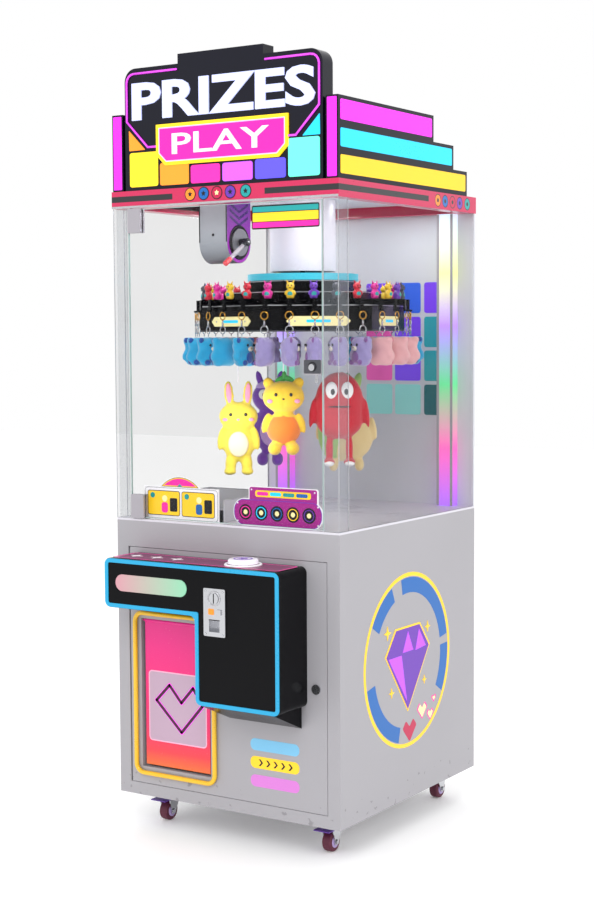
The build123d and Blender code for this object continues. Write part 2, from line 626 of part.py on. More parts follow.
def drum():
    bottoms = TIER_TOPS[1:] + (DRUM_BOTTOM + DRUM_WALL,)
    outer, inner = None, None
    for apothem, top, bottom in zip(TIER_APOTHEMS, TIER_TOPS, bottoms):
        tier = hexagon(apothem, bottom, top)
        core = hexagon(apothem - DRUM_WALL, bottom - DRUM_WALL, top - DRUM_WALL)
        outer = tier if outer is None else outer + tier
        inner = core if inner is None else inner + core
    hole = rod_z(SHAFT_RADIUS, AXIS[0], AXIS[1], DRUM_BOTTOM, TIER_TOPS[0])
    save("drum_shell", outer - inner - hole)
    base = hexagon(TIER_APOTHEMS[2] - 1, DRUM_BOTTOM, DRUM_BOTTOM + DRUM_WALL)
    save("drum_base", base + rod_z(SHAFT_RADIUS, AXIS[0], AXIS[1], DRUM_BOTTOM, MOTOR_BOTTOM + SHAFT_GRIP))
    outer_r, inner_r, height = LIGHT_RING
    ring = rod_z(outer_r, AXIS[0], AXIS[1], TIER_TOPS[0], TIER_TOPS[0] + height)
    save("drum_light_ring", ring - rod_z(inner_r, AXIS[0], AXIS[1], TIER_TOPS[0], TIER_TOPS[0] + height))


def carousel_drive():
    x, y = AXIS
    column = rod_z(COLUMN_RADIUS, x, y, COLUMN_BOTTOM, CEILING)
    save("carousel_column", column - rod_z(COLUMN_RADIUS - COLUMN_WALL, x, y, COLUMN_BOTTOM, CEILING))
    motor = rod_z(MOTOR_RADIUS, x, y, MOTOR_BOTTOM, CEILING)
    bore = rod_z(SHAFT_RADIUS + FIT, x, y, MOTOR_BOTTOM, MOTOR_BOTTOM + SHAFT_GRIP + MOTOR_CLEAR)
    save("carousel_motor", motor - bore)


def hook_lever(lift):
    """A radial lever on the drum with a peg figure on top and a hanging finger at its nose.

    Its heel is round about its hinge line, so it tips without touching the drum."""
    half = ARM_SIZE[0] / 2
    heel = ARM_SIZE[1] / 2
    z0 = TIER_TOPS[2] + lift
    z1 = z0 + ARM_SIZE[1]
    lever = block(ARM_INNER + heel, LEG_RADIUS + LEG_THICK, -half, half, z0, z1)
    lever += rod_y(heel, ARM_INNER + heel, z0 + heel, -half, half)
    lever += block(LEG_RADIUS, LEG_RADIUS + LEG_THICK, -half, half, NOSE_BOTTOM, z0)
    lever += block(LEG_RADIUS, HOOK_REACH, -NOSE_SIZE / 2, NOSE_SIZE / 2,
                   NOSE_BOTTOM, NOSE_BOTTOM + NOSE_SIZE)
    lever += rod_z(PEG_BODY_RADIUS, PEG_RADIUS_AT, 0, z1, z1 + PEG_BODY)
    return lever + Pos(PEG_RADIUS_AT, 0, z1 + PEG_HEIGHT - PEG_HEAD) * Sphere(PEG_HEAD)


def key_ring():
    """Two hoops joined by a link, with a stud that carries the plush."""
    top = NOSE_BOTTOM - SOFT_GAP
    x0 = RING_RADIUS - RING_WIRE / 2
    x1 = x0 + RING_WIRE
    low = PLUSH_TOP + RING_LIFT
    chain = None
    for centre in (top - RING_OUTER, low + RING_OUTER):
        hoop = rod_x(RING_OUTER, 0, centre, x0, x1) - rod_x(RING_OUTER - RING_WIRE, 0, centre, x0, x1)
        chain = hoop if chain is None else chain + hoop
    chain += block(x0, x1, -LINK_WIDTH / 2, LINK_WIDTH / 2,
                   low + 2 * RING_OUTER - LINK_LAP, top - 2 * RING_OUTER + LINK_LAP)
    return chain + block(x0, x1, -STUD_WIDTH / 2, STUD_WIDTH / 2, PLUSH_TOP + SOFT_GAP, low + LINK_LAP)


def hanging_prizes():
    step = 360.0 / HOOKS
    start = -90.0
    still = range(1, HOOKS)
    save("hook_levers", [turned(hook_lever(0), start + i * step) for i in still])
    save("front_hook", turned(hook_lever(SOFT_GAP), start))
    save("key_rings", [turned(key_ring(), start + i * step) for i in range(HOOKS)])
    sx, sy, sz = PLUSH_SIZE
    pad = fillet(Box(sx, sy, sz).edges(), PLUSH_ROUND)
    pad = Pos(PLUSH_RADIUS, 0, PLUSH_TOP - sz / 2) * pad
    save("small_plush", [turned(pad, start + i * step) for i in range(HOOKS)])


def large_plush():
    """Each is a rounded body hung from the drum by a sewn loop."""
    for node, (x, y, z0, z1, width, depth, rounding) in LARGE_PLUSH.items():
        body = fillet(Box(width, depth, z1 - z0).edges(), rounding)
        shape = Pos(x, y, (z0 + z1) / 2) * Rot(0, 0, LARGE_TURN) * body
        save(node, shape + rod_z(LOOP_RADIUS, x, y, z1 - LOOP_SEWN, DRUM_BOTTOM - SOFT_GAP))


# ---- striker
def striker():
    y, z = STRIKER_PIVOT
    x0, x1 = STRIKER_FACE - STRIKER_LENGTH, STRIKER_FACE
    r = STRIKER_RADIUS
    shell = block(x0, x1, y - r, y + r, z, CEILING) + rod_x(r, y, z, x0, x1)
    t = STRIKER_WALL
    shell -= block(x0 + t, x1 - t, y - r + t, y + r - t, z, CEILING) + rod_x(r - t, y, z, x0 + t, x1 - t)
    body_radius, body_length = STRIKER_BODY
    flange_radius, flange_thick = STRIKER_FLANGE
    shaft_radius, shaft_grip = STRIKER_SHAFT
    shell -= rod_x(body_radius + FIT, y, z, x1 - t, x1)
    save("striker_housing", shell)
    face = x1 + flange_thick
    motor = rod_x(flange_radius, y, z, x1, face) + rod_x(body_radius, y, z, x1 - body_length, x1)
    save("striker_motor", motor - rod_x(shaft_radius + FIT, y, z, x1 - STRIKER_BORE, face))
    hub_radius, hub_length = STRIKER_HUB
    hub = face + SOFT_GAP
    arm = rod_x(hub_radius, y, z, hub, hub + hub_length) + rod_x(shaft_radius, y, z, x1 - shaft_grip, hub)
    rod = Pos(0, 0, -STRIKER_ARM / 2) * Cylinder(STRIKER_ROD, STRIKER_ARM)
    tip_radius, tip_length = STRIKER_TIP
    tip = Pos(0, 0, -STRIKER_ARM + tip_length / 2) * Cylinder(tip_radius, tip_length)
    arm += Pos(x1 + STRIKER_REACH, y, z) * Rot(-(90 - STRIKER_DIP), 0, 0) * (rod + tip)
    save("striker_arm", arm)


# ---- casters
def caster(name, x, y, facing, braked):
    """One caster; facing is -1 where the wheel trails to the front and +1 to the back."""
    top = BASE_BOTTOM - PLATE[2]
    wheel_y = y + facing * TRAIL
    head_r, head_h = FORK_HEAD
    fork = rod_z(head_r, x, y, top - SOFT_GAP - head_h, top - SOFT_GAP)
    head_bottom = top - SOFT_GAP - head_h
    lap, top_near, top_far = FORK_TOP
    neck_drop, neck_near = FORK_NECK
    foot_half, foot_drop = FORK_FOOT
    far, far_drop = FORK_REAR
    axle_z = WHEEL_RADIUS
    leg = [(y - facing * top_near, head_bottom + lap), (y - facing * neck_near, head_bottom - neck_drop),
           (wheel_y - facing * foot_half, axle_z - foot_drop),
           (wheel_y + facing * foot_half, axle_z - foot_drop),
           (wheel_y + facing * far, PEDAL_HEIGHT - far_drop), (wheel_y + facing * far, head_bottom - neck_drop),
           (y + facing * top_far, head_bottom + lap)]
    for side in (-1, 1):
        x0, x1 = sorted((x + side * LEG_SPACE, x + side * (LEG_SPACE + FORK_LEG)))
        fork += side_plate(leg, x0, x1)
    axle_end = LEG_SPACE + AXLE_END
    fork += rod_x(AXLE_RADIUS, wheel_y, axle_z, x - axle_end, x + axle_end)
    fork -= rod_z(KINGPIN + FIT, x, y, head_bottom, top)
    pivot_y = wheel_y + facing * PEDAL_AHEAD
    if braked:
        fork += rod_x(PEDAL_PIN, pivot_y, PEDAL_HEIGHT, x - LEG_SPACE - 1, x + LEG_SPACE + 1)
        save("pedal_" + name, brake_pedal(x, pivot_y, facing))
    save("fork_" + name, fork)
    half = WHEEL_WIDTH / 2
    wheel = rod_x(WHEEL_RADIUS, wheel_y, axle_z, x - half, x + half)
    wheel = fillet(wheel.edges().filter_by(GeomType.CIRCLE), WHEEL_ROUND)
    save("wheel_" + name, wheel - rod_x(AXLE_RADIUS + FIT, wheel_y, axle_z, x - half, x + half))


def brake_pedal(x, pivot_y, facing):
    """A tread plate on a neck from the pivot barrel."""
    z = PEDAL_HEIGHT
    width, length, thick = PEDAL_SIZE
    radius, half = PEDAL_BARREL
    neck_half, neck_length = PEDAL_NECK
    pedal = rod_x(radius, pivot_y, z, x - half, x + half)
    ys = sorted((pivot_y, pivot_y + facing * neck_length))
    pedal += block(x - neck_half, x + neck_half, ys[0], ys[1], z - thick / 2, z + thick / 2)
    ys = sorted((pivot_y + facing * PEDAL_START, pivot_y + facing * (PEDAL_START + length)))
    pedal += block(x - width / 2, x + width / 2, ys[0], ys[1], z - thick / 2, z + thick / 2)
    return pedal - rod_x(PEDAL_PIN + FIT, pivot_y, z, x - half, x + half)


def casters():
    places = {"front_left": (-CASTER_X, CASTER_FRONT, -1),
              "front_right": (CASTER_X, CASTER_FRONT, -1),
              "rear_left": (-CASTER_X, CASTER_REAR, 1), "rear_right": (CASTER_X, CASTER_REAR, 1)}
    plates = []
    for name, (x, y, facing) in places.items():
        z0 = BASE_BOTTOM - PLATE[2]
        plate = block(x - PLATE[0] / 2, x + PLATE[0] / 2, y - PLATE[1] / 2, y + PLATE[1] / 2,
                      z0, BASE_BOTTOM)
        plates.append(plate + rod_z(KINGPIN, x, y, z0 - SOFT_GAP - FORK_HEAD[1], z0))
        caster(name, x, y, facing, facing < 0)
    save("caster_plates", plates)


base_panels()
front_frame()
deck_panel()
inside_base()
cabin_walls()
header()
roof_signs()
sign_boards()
service_door()
prize_frame()
prize_flap()
console()
glass_door()
drum()
carousel_drive()
hanging_prizes()
large_plush()
striker()
casters()
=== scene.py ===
"""Looks for the prize carousel machine: signs, graphics, toys, fittings, finishes and studio."""
import random
from collections import namedtuple
from math import atan2, ceil, cos, exp, pi, radians, sin

import bmesh
import bpy
from mathutils import Matrix, Vector, noise


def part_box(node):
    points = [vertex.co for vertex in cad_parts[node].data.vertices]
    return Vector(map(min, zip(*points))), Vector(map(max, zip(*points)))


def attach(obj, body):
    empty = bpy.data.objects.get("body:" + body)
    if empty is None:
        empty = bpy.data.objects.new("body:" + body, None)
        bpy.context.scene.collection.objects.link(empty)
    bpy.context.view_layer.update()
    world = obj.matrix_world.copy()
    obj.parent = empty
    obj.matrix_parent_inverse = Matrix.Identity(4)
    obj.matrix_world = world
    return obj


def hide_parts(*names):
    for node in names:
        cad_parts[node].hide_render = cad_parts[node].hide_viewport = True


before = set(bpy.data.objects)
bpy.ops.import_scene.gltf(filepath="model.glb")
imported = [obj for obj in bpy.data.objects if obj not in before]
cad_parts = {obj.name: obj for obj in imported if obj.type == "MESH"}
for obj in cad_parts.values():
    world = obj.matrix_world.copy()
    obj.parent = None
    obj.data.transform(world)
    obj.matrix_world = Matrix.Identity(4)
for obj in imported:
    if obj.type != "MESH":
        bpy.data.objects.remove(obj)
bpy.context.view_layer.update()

MM = 0.001
PAINT = 0.35        # how far a printed sheet stands off its panel, mm
HOOKS = 28
FIRST_HOOK = -90.0  # where the front lever stands, degrees
TOY_TURN = 33.0     # which way the large toys face, degrees
DRUM_FLAT = 12.0    # which way the drum's first flat faces, degrees
DRUM_TIERS = ((260, 1484), (200, 1522), (135, 1555))    # each tier's flat, from the axis, and its top
HEEL_AT, PEG_AT, TOY_AT, NOSE_AT, RING_AT = 243, 284, 305, 308.5, 312   # all from the drum's axis
LEVER_FOOT, LEVER_TALL, LEVER_WIDE = 1484, 16, 14
LEVER_GAP = 0.3     # how far the front lever's cover is lifted
STRIKER_DIP = 32.0  # how far the wand hangs below level, degrees
WAND_FROM_FACE = 24
HUB_GAP = 6.3
PILL_MIDDLE = 163   # the stickers' middle, across the front
TILE_STEP, TILE_TALL = 101, 92
RIM_TALL, RIM_WALL = 60, 3
random.seed(11)


def tone(code):
    """A colour written as six hex digits, in linear light."""
    parts = [int(code[i:i + 2], 16) / 255 for i in (0, 2, 4)]
    return tuple(p / 12.92 if p <= 0.04045 else ((p + 0.055) / 1.055) ** 2.4 for p in parts)


def shade(colour, amount):
    """A colour made lighter (above 1) or darker (below 1)."""
    return tuple(min(1.0, c * amount) for c in colour)


class Box(namedtuple("Box", "x0 y0 z0 x1 y1 z1")):
    """The sides of a node's box, and its middle, in millimetres."""
    mid_x = property(lambda box: (box.x0 + box.x1) / 2)
    mid_y = property(lambda box: (box.y0 + box.y1) / 2)
    mid_z = property(lambda box: (box.z0 + box.z1) / 2)


def span(node):
    """A node's box in millimetres."""
    low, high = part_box(node)
    return Box(*[value / MM for value in (*low, *high)])


# ---- shader maths
class Num:
    """A number that changes over a surface, written with the usual operators."""

    def __init__(self, look, socket):
        self.look, self.socket = look, socket

    def calc(self, operation, *values, clamp=False):
        inputs = dict(enumerate(values))
        return Num(self.look, self.look.node("Math", {"operation": operation, "use_clamp": clamp}, inputs))

    def __add__(self, other): return self.calc("ADD", self, other)
    def __radd__(self, other): return self.calc("ADD", other, self)
    def __sub__(self, other): return self.calc("SUBTRACT", self, other)
    def __rsub__(self, other): return self.calc("SUBTRACT", other, self)
    def __mul__(self, other): return self.calc("MULTIPLY", self, other)
    def __rmul__(self, other): return self.calc("MULTIPLY", other, self)
    def __truediv__(self, other): return self.calc("DIVIDE", self, other)
    def __abs__(self): return self.calc("ABSOLUTE", self)
    def above(self, other): return self.calc("GREATER_THAN", self, other)
    def below(self, other): return self.calc("LESS_THAN", self, other)
    def held(self): return self.calc("ADD", self, 0.0, clamp=True)

    def wave(self, length):
        return self.calc("SINE", self * (2 * pi / length)) * 0.5 + 0.5


class Finish:
    """One material and the nodes it is made of."""

    def __init__(self, name):
        self.material = bpy.data.materials.new(name)
        self.material.use_nodes = True
        self.tree = self.material.node_tree
        self.tree.nodes.clear()
        self.coordinates = None

    def node(self, kind, settings=(), inputs=(), output=0):
        node = self.tree.nodes.new("ShaderNode" + kind)
        for key, value in dict(settings).items():
            if key == "stops":
                ramp = node.color_ramp
                ramp.elements.remove(ramp.elements[1])
                for index, (place, colour) in enumerate(value):
                    stop = ramp.elements[0] if index == 0 else ramp.elements.new(place)
                    stop.position = place
                    stop.color = (*colour, 1)
            else:
                setattr(node, key, value)
        for key, value in dict(inputs).items():
            if isinstance(value, Num):
                value = value.socket
            if isinstance(value, bpy.types.NodeSocket):
                self.tree.links.new(value, node.inputs[key])
            else:
                node.inputs[key].default_value = value
        return node.outputs[output] if node.outputs else node

    def object_place(self):
        if self.coordinates is None:
            self.coordinates = self.node("TexCoord", output="Object")
        return self.coordinates

    def xyz(self):
        split = self.node("SeparateXYZ", inputs={0: self.object_place()})
        return [Num(self, split.node.outputs[axis]) for axis in range(3)]

    def cloud(self, scale, detail=2.0, stretch=(1, 1, 1)):
        place = self.object_place()
        if stretch != (1, 1, 1):
            place = self.node("Mapping", inputs={"Vector": place, "Scale": stretch})
        return Num(self, self.node("TexNoise", inputs={"Vector": place, "Scale": scale, "Detail": detail}))

    def mix(self, factor, first, second):
        first, second = [value if isinstance(value, bpy.types.NodeSocket) else (*value, 1)
                         for value in (first, second)]
        return self.node("Mix", {"data_type": "RGBA"}, {0: factor, 6: first, 7: second}, output=2)

    def ramp(self, factor, *stops):
        return self.node("ValToRGB", {"stops": stops}, {0: factor})

    def bump(self, height, depth):
        return self.node("Bump", inputs={"Height": height, "Strength": 1.0, "Distance": depth})

    def surface(self, **sockets):
        """Finishes the material; Base_Color=... stands for the socket named Base Color."""
        inputs = {key.replace("_", " "): value for key, value in sockets.items()}
        for key in ("Base Color", "Emission Color"):
            if isinstance(inputs.get(key), tuple):
                inputs[key] = (*inputs[key], 1)
        shader = self.node("BsdfPrincipled", inputs=inputs)
        self.node("OutputMaterial", inputs={"Surface": shader})
        return self.material


def moulded(name, code, rough=0.35, metal=0.0, coat=0.0, vary=0.07, grain=260.0, depth=0.00004, glow=0.0,
            shine=0.5):
    """Painted, plated or moulded stock: cloudy tone, uneven gloss and a fine surface texture."""
    look = Finish(name)
    colour = tone(code)
    wide = look.cloud(7.0, 3.0)
    fine = look.cloud(grain, 3.0)
    base = look.mix(wide * 0.6 + fine * 0.4, shade(colour, 1 - vary), shade(colour, 1 + vary))
    sockets = dict(Base_Color=base, Roughness=(fine - 0.5) * 0.16 + (wide - 0.5) * 0.14 + rough,
                   Metallic=metal, Coat_Weight=coat, Specular_IOR_Level=shine, Normal=look.bump(fine, depth))
    # glow makes the surface give off light: a lamp's light on signs, lenses and light boxes, painted light on
    # anything else
    if glow:
        sockets.update(Emission_Color=base, Emission_Strength=glow)
    return look.surface(**sockets)


def brushed(name, code, rough=0.3, stretch=(1, 1, 30)):
    """Metal with fine drawn lines."""
    look = Finish(name)
    colour = tone(code)
    lines = look.cloud(60.0, 4.0, stretch)
    base = look.mix(lines, shade(colour, 0.86), shade(colour, 1.1))
    return look.surface(Base_Color=base, Metallic=1.0, Roughness=(lines - 0.5) * 0.25 + rough,
                        Normal=look.bump(lines, 0.00003))


def graded(name, axis, start, end, *stops, rough=0.3, glow=0.0, coat=0.0):
    """Colours that run into each other along one axis, from start to end in millimetres."""
    look = Finish(name)
    place = (look.xyz()[axis] - start * MM) / ((end - start) * MM)
    fine = look.cloud(180.0, 3.0)
    base = look.ramp((place + (fine - 0.5) * 0.02).held(), *[(at, tone(code)) for at, code in stops])
    sockets = dict(Base_Color=base, Roughness=(fine - 0.5) * 0.12 + rough, Coat_Weight=coat)
    if glow:
        sockets.update(Emission_Color=base, Emission_Strength=glow)
    return look.surface(**sockets)


def clear(name, code, least=0.03, edge=0.4, rough=0.04):
    """A clear pane: nearly nothing face on, more reflection at a glancing angle."""
    look = Finish(name)
    facing = Num(look, look.node("LayerWeight", inputs={"Blend": 0.35}, output="Facing"))
    smear = look.cloud(5.0, 3.0)
    alpha = (facing * facing * edge + least + (smear - 0.5) * 0.02).held()
    material = look.surface(Base_Color=tone(code), Roughness=(smear - 0.5) * 0.05 + rough, Alpha=alpha)
    material.surface_render_method = "BLENDED"
    return material


def pile(name, code, vary=0.16, depth=0.0012):
    """Short-pile toy fabric: tufts, brushed tone and a soft bloom at the edges."""
    look = Finish(name)
    colour = tone(code)
    tufts = look.cloud(420.0, 5.0)
    patches = look.cloud(24.0, 3.0)
    base = look.mix(tufts * 0.55 + patches * 0.45, shade(colour, 1 - 2 * vary), shade(colour, 1 + vary))
    return look.surface(Base_Color=base, Roughness=(tufts - 0.5) * 0.2 + 0.85, Sheen_Weight=0.5,
                        Sheen_Roughness=0.5, Normal=look.bump(tufts * 0.7 + patches * 0.3, depth))


def cabinet_paint():
    look = Finish("cabinet_satin")
    colour = tone("a7a5aa")
    wide, fine = look.cloud(3.0, 4.0), look.cloud(420.0, 3.0)
    z = look.xyz()[2]
    scuff = look.cloud(38.0, 5.0).above(0.66) * z.below(0.16) * 0.5
    base = look.mix(wide * 0.7 + fine * 0.3, shade(colour, 0.93), shade(colour, 1.05))
    base = look.mix(scuff, base, tone("6f6c70"))
    return look.surface(Base_Color=base, Roughness=(fine - 0.5) * 0.16 + 0.42 + scuff * 0.2,
                        Normal=look.bump(fine, 0.00005))


def back_paint():
    """The same paint, with pressed louvres across the back panel, their slots painted near black as the shade
    inside them, and a dark power inlet low down.
    """
    look = Finish("back_panel_louvres")
    colour = tone("a7a5aa")
    x, _, z = look.xyz()
    field = abs(x).below(0.17) * z.above(0.56) * z.below(0.74)
    # louvre slots: painted shade, near black, with a bump for their depth
    slots = z.wave(0.02).above(0.62) * field
    fine = look.cloud(420.0, 3.0)
    inlet = abs(x - 0.25).below(0.024) * abs(z - 0.2).below(0.014)
    pins = abs(abs(x - 0.25) - 0.008).below(0.0015) * abs(z - 0.2).below(0.006)
    base = look.mix(slots, look.mix(fine, shade(colour, 0.93), shade(colour, 1.05)), tone("1b1b1d"))
    base = look.mix(pins, look.mix(inlet, base, tone("121214")), tone("b9b4a6"))
    return look.surface(Base_Color=base, Roughness=(fine - 0.5) * 0.16 + 0.42,
                        Normal=look.bump(fine * 0.02 - slots, 0.002))


def header_paint():
    """Crimson band with dark bars wrapping both corners and round badges at the rear of each side, all given a
    faint glow of painted light.
    """
    look = Finish("header_crimson_glow")
    colour = tone("c4104f")
    x, y, z = look.xyz()
    fine = look.cloud(200.0, 3.0)
    bar = z.above(1.772) * z.below(1.788) * y.below(0.094) * abs(x + 0.008).above(0.152)
    base = look.mix(bar, look.mix(fine, shade(colour, 0.9), shade(colour, 1.1)), tone("14121a"))
    side = abs(x).above(0.3725)
    badges = ((0.149, "f58a1f"), (0.193, "0064b4"), (0.238, "c4104a"), (0.283, "6b2fb3"), (0.331, "149a9a"))
    for centre, code in badges:
        apart = (y - centre) * (y - centre) + (z - 1.779) * (z - 1.779)
        base = look.mix(apart.below(0.018 ** 2) * side, base, tone("1d1d23"))
        base = look.mix(apart.below(0.0155 ** 2) * apart.above(0.006 ** 2) * side, base, tone(code))
    # the painted band, its bars and badges glow faintly: painted light
    return look.surface(Base_Color=base, Roughness=(fine - 0.5) * 0.12 + 0.3, Coat_Weight=0.4,
                        Emission_Color=base, Emission_Strength=0.12)


# ---- shapes, in millimetres; u and v lie in the panel and w stands out of it
def slab(points, thick, corner=0.0, soft=0.0, steps=4):
    """A flat outline made thick, its corners rounded and its upper edge softened."""
    part = bmesh.new()
    part.faces.new([part.verts.new((u, v, 0)) for u, v in points])
    if corner:
        bmesh.ops.bevel(part, geom=list(part.verts), offset=corner, segments=steps, profile=0.5,
                        affect="VERTICES", material=-1)
    grown = bmesh.ops.extrude_face_region(part, geom=list(part.faces))
    bmesh.ops.translate(part, vec=(0, 0, thick),
                        verts=[item for item in grown["geom"] if isinstance(item, bmesh.types.BMVert)])
    bmesh.ops.recalc_face_normals(part, faces=list(part.faces))
    if soft:
        rim = [edge for edge in part.edges if min(v.co.z for v in edge.verts) > thick - 1e-4]
        bmesh.ops.bevel(part, geom=rim, offset=soft, segments=2, profile=0.5, affect="EDGES", material=-1)
    return part


def arc(u, v, radius, start, end, steps=12):
    """Points along an arc between two angles in degrees."""
    turns = [radians(start + (end - start) * i / steps) for i in range(steps + 1)]
    return [(u + radius * cos(turn), v + radius * sin(turn)) for turn in turns]


def star(u, v, size, points=4, waist=0.32, start=0.0):
    """A star's outline; its inner corners lie at a share of its size."""
    return [(u + size * cos(start + a * pi / points) * (waist if a % 2 else 1),
             v + size * sin(start + a * pi / points) * (waist if a % 2 else 1)) for a in range(2 * points)]


def oblong(u0, u1, v0, v1, thick, corner=0.0, soft=0.0, steps=4):
    return slab([(u0, v0), (u1, v0), (u1, v1), (u0, v1)], thick, corner, soft, steps)


def banded(part, edge_look, *bands):
    """Colours a slab's face in rings from the edge inwards; each band is a width and what follows it."""
    for face in part.faces:
        face.material_index = edge_look
    top = max(part.faces, key=lambda face: (round(face.calc_center_median().z, 3), face.calc_area()))
    for width, look in bands:
        bmesh.ops.inset_region(part, faces=[top], thickness=width, depth=0, use_even_offset=True)
        top.material_index = look
    return part


def rod(radius, length, top=None, segments=32, soft=0.0):
    part = bmesh.new()
    bmesh.ops.create_cone(part, cap_ends=True, segments=segments, radius1=radius,
                          radius2=radius if top is None else top, depth=length)
    bmesh.ops.translate(part, vec=(0, 0, length / 2), verts=part.verts)
    if soft:
        rims = [edge for edge in part.edges if abs(edge.verts[0].co.z - edge.verts[1].co.z) < 1e-5]
        bmesh.ops.bevel(part, geom=rims, offset=soft, segments=3, profile=0.5, affect="EDGES", material=-1)
    return part


def ball(rx, ry=None, rz=None, across=24, down=14):
    part = bmesh.new()
    bmesh.ops.create_uvsphere(part, u_segments=across, v_segments=down, radius=1)
    bmesh.ops.scale(part, vec=(rx, rx if ry is None else ry, rx if rz is None else rz), verts=part.verts)
    return part


def brick(sx, sy, sz, soft=0.0):
    part = bmesh.new()
    bmesh.ops.create_cube(part, size=1)
    bmesh.ops.scale(part, vec=(sx, sy, sz), verts=part.verts)
    if soft:
        bmesh.ops.bevel(part, geom=list(part.edges), offset=soft, segments=3, profile=0.5,
                        affect="EDGES", material=-1)
    return part


def lathe(profile, steps=40):
    """A profile of radius and height turned about w."""
    part = bmesh.new()
    points = [part.verts.new((r, 0, h)) for r, h in profile]
    edges = [part.edges.new(pair) for pair in zip(points, points[1:])]
    bmesh.ops.spin(part, geom=points + edges, cent=(0, 0, 0), axis=(0, 0, 1), angle=2 * pi,
                   steps=steps, use_merge=True)
    bmesh.ops.remove_doubles(part, verts=list(part.verts), dist=1e-3)
    bmesh.ops.recalc_face_normals(part, faces=list(part.faces))
    return part


def hoop(radius, wire, steps=28, around=8):
    """A ring of round wire lying in u, v."""
    part = bmesh.new()
    bmesh.ops.create_circle(part, segments=around, radius=wire)
    bmesh.ops.rotate(part, cent=(0, 0, 0), matrix=Matrix.Rotation(pi / 2, 3, "X"), verts=part.verts)
    bmesh.ops.translate(part, vec=(radius, 0, 0), verts=part.verts)
    bmesh.ops.spin(part, geom=list(part.verts) + list(part.edges), cent=(0, 0, 0), axis=(0, 0, 1),
                   angle=2 * pi, steps=steps, use_merge=True)
    bmesh.ops.remove_doubles(part, verts=list(part.verts), dist=1e-3)
    bmesh.ops.recalc_face_normals(part, faces=list(part.faces))
    return part


def letters(text, width, height, thick, heavy=0.02):
    """Raised lettering, centred and fitted to a width and height."""
    curve = bpy.data.curves.new("letters", "FONT")
    curve.body, curve.extrude, curve.offset, curve.resolution_u = text, 0.5, heavy, 3
    carrier = bpy.data.objects.new("letters", curve)
    bpy.context.collection.objects.link(carrier)
    mesh = bpy.data.meshes.new_from_object(carrier)
    part = bmesh.new()
    part.from_mesh(mesh)
    bpy.data.objects.remove(carrier)
    bpy.data.meshes.remove(mesh)
    bmesh.ops.remove_doubles(part, verts=list(part.verts), dist=1e-5)
    low = [min(v.co[axis] for v in part.verts) for axis in range(3)]
    high = [max(v.co[axis] for v in part.verts) for axis in range(3)]
    middle = (-(low[0] + high[0]) / 2, -(low[1] + high[1]) / 2, -low[2])
    bmesh.ops.translate(part, vec=middle, verts=part.verts)
    bmesh.ops.scale(part, vec=(width / (high[0] - low[0]), height / (high[1] - low[1]),
                               thick / (high[2] - low[2])), verts=part.verts)
    return part


# ---- where a shape goes
def shift(x, y, z):
    return Matrix.Translation((x, y, z))


def turn(angle, axis="Z"):
    return Matrix.Rotation(radians(angle), 4, axis)


def on_front(x, y, z):
    return Matrix(((1, 0, 0, x), (0, 0, -1, y), (0, 1, 0, z), (0, 0, 0, 1)))


def on_side(side, x, y, z):
    """side is 1 for the right-hand face and -1 for the left; u runs to the rear on both."""
    flat = Matrix(((0, 0, 1, x), (1, 0, 0, y), (0, 1, 0, z), (0, 0, 0, 1)))
    return flat if side > 0 else flat @ Matrix.Diagonal((1, 1, -1, 1))


def at(x, y, z, tilt=0.0, axis="X"):
    return shift(x, y, z) @ turn(tilt, axis)


def along(start, end):
    """Puts a rod's foot at start with its axis towards end."""
    way = Vector(end) - Vector(start)
    return Matrix.Translation(start) @ way.to_track_quat("Z", "Y").to_matrix().to_4x4()


class Piece:
    """One object built up from shapes, each in one of its finishes."""

    def __init__(self, name, body, slot, *finishes):
        self.name, self.body, self.slot, self.finishes = name, body, slot, finishes
        self.mesh = bmesh.new()

    def add(self, part, place=None, look=0, smooth=False):
        for face in part.faces:
            face.smooth = smooth
            if look is not None:
                face.material_index = look
        if place is not None:
            bmesh.ops.transform(part, matrix=place, verts=part.verts)
            if place.determinant() < 0:
                bmesh.ops.reverse_faces(part, faces=list(part.faces))
        carrier = bpy.data.meshes.new("part")
        part.to_mesh(carrier)
        part.free()
        self.mesh.from_mesh(carrier)
        bpy.data.meshes.remove(carrier)
        return self

    def line(self, points, radius, place, look=0, segments=10):
        """A bent round tube through points in the panel."""
        spots = [place @ Vector((u, v, radius)) for u, v in points]
        for start, end in zip(spots, spots[1:]):
            self.add(rod(radius, (end - start).length, segments=segments), along(start, end), look, True)
        for spot in spots:
            self.add(ball(radius, across=segments, down=6), Matrix.Translation(spot), look, True)
        return self

    def done(self, *replaced):
        bmesh.ops.scale(self.mesh, vec=(MM, MM, MM), verts=self.mesh.verts)
        data = bpy.data.meshes.new(self.name)
        self.mesh.to_mesh(data)
        self.mesh.free()
        return settle(data, self.name, self.body, self.slot, self.finishes, replaced)


def settle(data, name, body, slot, finishes, replaced=()):
    for finish in finishes:
        data.materials.append(finish)
    piece = bpy.data.objects.new(name, data)
    bpy.context.collection.objects.link(piece)
    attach(piece, body)
    if replaced:
        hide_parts(*replaced)
    return piece


def paint_node(finish, *nodes):
    for name in nodes:
        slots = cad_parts[name].material_slots
        for place in slots:
            place.material = finish


